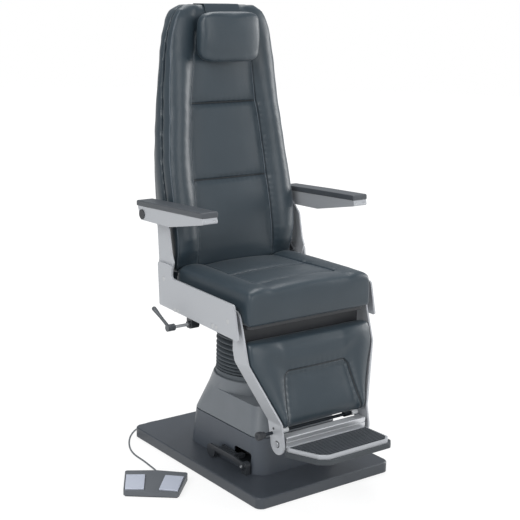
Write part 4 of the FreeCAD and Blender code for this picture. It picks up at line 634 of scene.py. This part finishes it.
def sew(piece, seams, plane, faces, groove, width, pucker, welts):
    """Draws the surface in along the seams, with small gathers, and marks them for a painted shade."""
    finer_reach, seam_reach, gather_reach, gather_pitch = 0.012, 0.05, 0.016, 0.021
    edge_on, ease_in = 0.05, 0.25
    shape = bmesh.new()
    shape.from_mesh(piece.data)
    near = [edge for edge in shape.edges
            if all(seam_distance(flat_of(v.co, plane), seams)[0] < finer_reach and v.normal.dot(faces) > 0.15
                   for v in edge.verts)]
    if near:
        bmesh.ops.subdivide_edges(shape, edges=near, cuts=1, use_grid_fill=True, smooth=0.6)
    shape.normal_update()
    # seam carries a painted shade in the grooves, welt a painted highlight on the welts
    shape.verts.layers.float.new("seam")
    shape.verts.layers.float.new("welt")
    marks = shape.verts.layers.float["seam"]
    moves = []
    for vertex in shape.verts:
        outward = vertex.normal.dot(faces)
        if outward < edge_on:
            continue
        gap, run = seam_distance(flat_of(vertex.co, plane), seams)
        if gap > seam_reach:
            continue
        ease = min(1.0, (outward - edge_on) / ease_in)
        cut = groove * math.exp(-(gap / width) ** 2) * ease
        wave = math.sin(run * 2 * math.pi / gather_pitch + 3 * noise.noise(vertex.co * 14))
        gather = (pucker * wave * math.exp(-(gap / gather_reach) ** 2)
                  * (1 - math.exp(-(gap / width) ** 2)) * ease)
        moves.append((vertex, vertex.normal * (gather - cut)))
        # painted shade, strongest in the middle of the groove
        vertex[marks] = ease * math.exp(-(gap / (width * 0.75)) ** 2)
    for vertex, move in moves:
        vertex.co = vertex.co + move
    shape.normal_update()
    for line in welts:
        piped(shape, line, plane, faces)
    shape.to_mesh(piece.data)
    shape.free()


# The seat cushion: a boxed pad with a sunken middle of three panels, crossed by two pleats
# and edged along both sides by a welt.
pleat_front, pleat_rear = -0.193, -0.055
panel_front_half, panel_rear_half, panel_rear, taper_run = 0.154, 0.139, 0.118, 0.35
seat_seams = []
for side in (-1, 1):
    seat_seams.append([(side * panel_front_half, pleat_front), (side * panel_rear_half, panel_rear)])
for pleat in (pleat_front, pleat_rear):
    half = panel_rear_half + (panel_front_half - panel_rear_half) * (panel_rear - pleat) / taper_run
    seat_seams.append([(-half, pleat), (half, pleat)])
down, up = Vector((0, 0, -1)), Vector((0, 0, 1))
front_puff = 2.2
stuffed("seat_cushion", "seat_pad", "seat", seat_seams, "xy", up, front_puff, down, welts=seat_seams[:2],
        between_plates=True)


# The backrest: a front pad with tall side rolls and a middle of three panels, stapled to a
# steel panel, with a plainer pad behind it. Welts edge its outline and its middle.
back_foot, back_span = 0.615, 0.833
panel_shares = [(0.0, 1.0), (0.06, 1.0), (0.2, 0.977), (0.34, 0.963), (0.42, 0.953), (0.495, 0.926),
                (0.57, 0.886), (0.63, 0.842), (0.72, 0.792), (0.775, 0.758), (0.9, 0.7)]
panel_low_half = 0.149
back_half, welt_share, welt_inset = 0.256, 0.985, 0.0015
edge_shares = [(0.03, 0.893), (0.06, 0.90), (0.12, 0.915), (0.2, 0.928), (0.28, 0.931), (0.35, 0.926),
               (0.43, 0.912), (0.51, 0.887), (0.59, 0.856), (0.67, 0.836), (0.75, 0.811), (0.83, 0.79),
               (0.90, 0.748), (0.95, 0.69), (0.975, 0.63)]
back_seams = []
back_edges = []
for side in (-1, 1):
    back_seams.append([(side * panel_low_half * width_share, back_foot + back_span * rise)
                       for rise, width_share in panel_shares])
    back_edges.append([(side * (back_half * width_share * welt_share - welt_inset),
                        back_foot + back_span * rise) for rise, width_share in edge_shares])
for rise, width_share in ((0.342, 0.963), (0.63, 0.842)):
    half = panel_low_half * width_share
    back_seams.append([(-half, back_foot + back_span * rise), (half, back_foot + back_span * rise)])
forward, rearward = Vector((0, -1, 0)), Vector((0, 1, 0))
stuffed("back_cushion", "back_pad", "backrest", back_seams, "xz", forward, front_puff, rearward,
        welts=back_edges + back_seams[:2])
far_from_any_seam = [[(-2.0, 0), (-2.1, 0)]]
stuffed("back_shell", "back_rear_pad", "backrest", far_from_any_seam, "xz", rearward, 2.0, forward)


# The headrest: a small loose pillow on a band of the same leatherette, which goes over the
# top of the back and hangs behind it with a weight sewn into its end.
stuffed("headrest_pillow", "headrest_pad", "headrest", far_from_any_seam, "xz", forward, front_puff,
        rearward)
edged("headrest_strap", "backrest", slate_leatherette, 0.0008)


# The leg rest: a pad on a thin steel sheet welded between the two bent bars, with a sunken
# panel sewn into its lower part.
leg_seams = [[(-0.146, 0.232), (-0.124, 0.372), (-0.108, 0.388),
              (0.108, 0.388), (0.124, 0.372), (0.146, 0.232)]]
stuffed("leg_cushion", "leg_pad", "leg_rest", leg_seams, "xz", forward, front_puff, rearward)


# The lock rod behind the footrest's hinge: a steel bar turned by a black knob, in pale
# acetal collars between the bars.
# nearly black: painted shade for the leg pad's shadow along the rod, with a thin dull shine along it
shaded_rod_steel = turned_steel("dark_rod_steel_painted_shade", "#3c4045", 0.45)
coat(shaded_rod_steel, "lock_rod")
edged("rod_collars", "leg_rest", acetal, 0.0008)
edged("rod_knob", "lock", black_abs, 0.001)


# The footrest: a grooved aluminium profile turns between the bars and carries a cast tray,
# with a ribbed rubber mat let into its top and a soft bumper round its underside.
def anodised(name, colour):
    """Satin anodised extrusion: pale metal with faint die lines about 1 mm apart along it,
    drawn a few times as coarse as they are."""
    material = blank(name)
    along, across_lines = 4.0, 900.0
    where = add(material, "TexCoord")
    drawn = add(material, "Mapping", {"Vector": (where, "Object"),
                                      "Scale": (along, across_lines, across_lines)})
    lines = add(material, "TexNoise", {"Scale": 1.0, "Detail": 2.0, "Vector": (drawn, "Vector")})
    rough = add(material, "MapRange", {"Value": (lines, "Fac"), "To Min": 0.3, "To Max": 0.46})
    shader = add(material, "BsdfPrincipled", {"Base Color": linear(colour), "Metallic": 0.75,
                                              "Roughness": (rough, "Result")})
    return show(material, (shader, "BSDF"))


satin_aluminium = anodised("satin_anodised_aluminium", "#d2d4d7")
edged("footrest_profile", "footrest", satin_aluminium, 0.0006)
edged("footrest_tray", "footrest", silver_coat, 0.0015)
# moulded rubber: nearly black and matt, the bumper a shade smoother than the mat
mat_rubber = neoprene("ribbed_mat_rubber", "#2a2f34", "#34393f")
edged("footrest_mat", "footrest", mat_rubber, 0.0006)
bumper_rubber = neoprene("bumper_rubber", "#2f3438", "#393e42")
edged("footrest_bumper", "footrest", bumper_rubber, 0.004, 3)


# Small fasteners: zinc-plated screws in the front of each armrest, a black one on each leg
# bar, a black ring under each footrest pin's head that is a painted shadow round its edge,
# and the brake pin's bright end.
def socket_screw(name, place, faces, radius, body, material):
    """A low round head with a round socket, its face turned to a direction."""
    top_share, rim_share, height, socket_depth = 0.86, 0.42, 0.0012, 0.0009
    shape = bmesh.new()
    bmesh.ops.create_cone(shape, cap_ends=True, segments=24, radius1=radius, radius2=radius * top_share,
                          depth=height)
    top = max(shape.faces, key=lambda face: face.calc_center_median().z)
    bmesh.ops.inset_region(shape, faces=[top], thickness=radius * rim_share)
    bmesh.ops.translate(shape, vec=(0, 0, -socket_depth), verts=top.verts)
    turn = Vector(faces).to_track_quat("Z", "Y").to_matrix().to_4x4()
    bmesh.ops.transform(shape, matrix=Matrix.Translation(place) @ turn, verts=shape.verts)
    bmesh.ops.recalc_face_normals(shape, faces=shape.faces)
    piece = smoothed(object_from(name, shape), 30)
    piece.data.materials.append(material)
    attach(piece, body)
    return piece


arm_front = (0, -0.963, -0.267)
bar_outside = 0.1703
for side, sign in (("left", 1), ("right", -1)):
    for i, x in enumerate((0.2755, 0.3075)):
        socket_screw(f"arm_end_screw_{side}_{i}", (sign * x, -0.1545, 0.8365), arm_front, 0.0026,
                     "armrest_" + side, zinc_steel)
    # the foot ring is black ABS as a painted shadow round each foot pin's head
    for name, y, z, radius in (("leg_bar_screw_", -0.3218, 0.2232, 0.0042),
                               ("foot_pin_shadow_ring_", -0.341, 0.179, 0.0115)):
        socket_screw(name + side, (sign * bar_outside, y, z), (sign, 0, 0), radius, "leg_rest", black_abs)
socket_screw("brake_pin_end", (-0.2012, -0.201, 0.066), (-1, 0, 0), 0.0045, "base", zinc_steel)
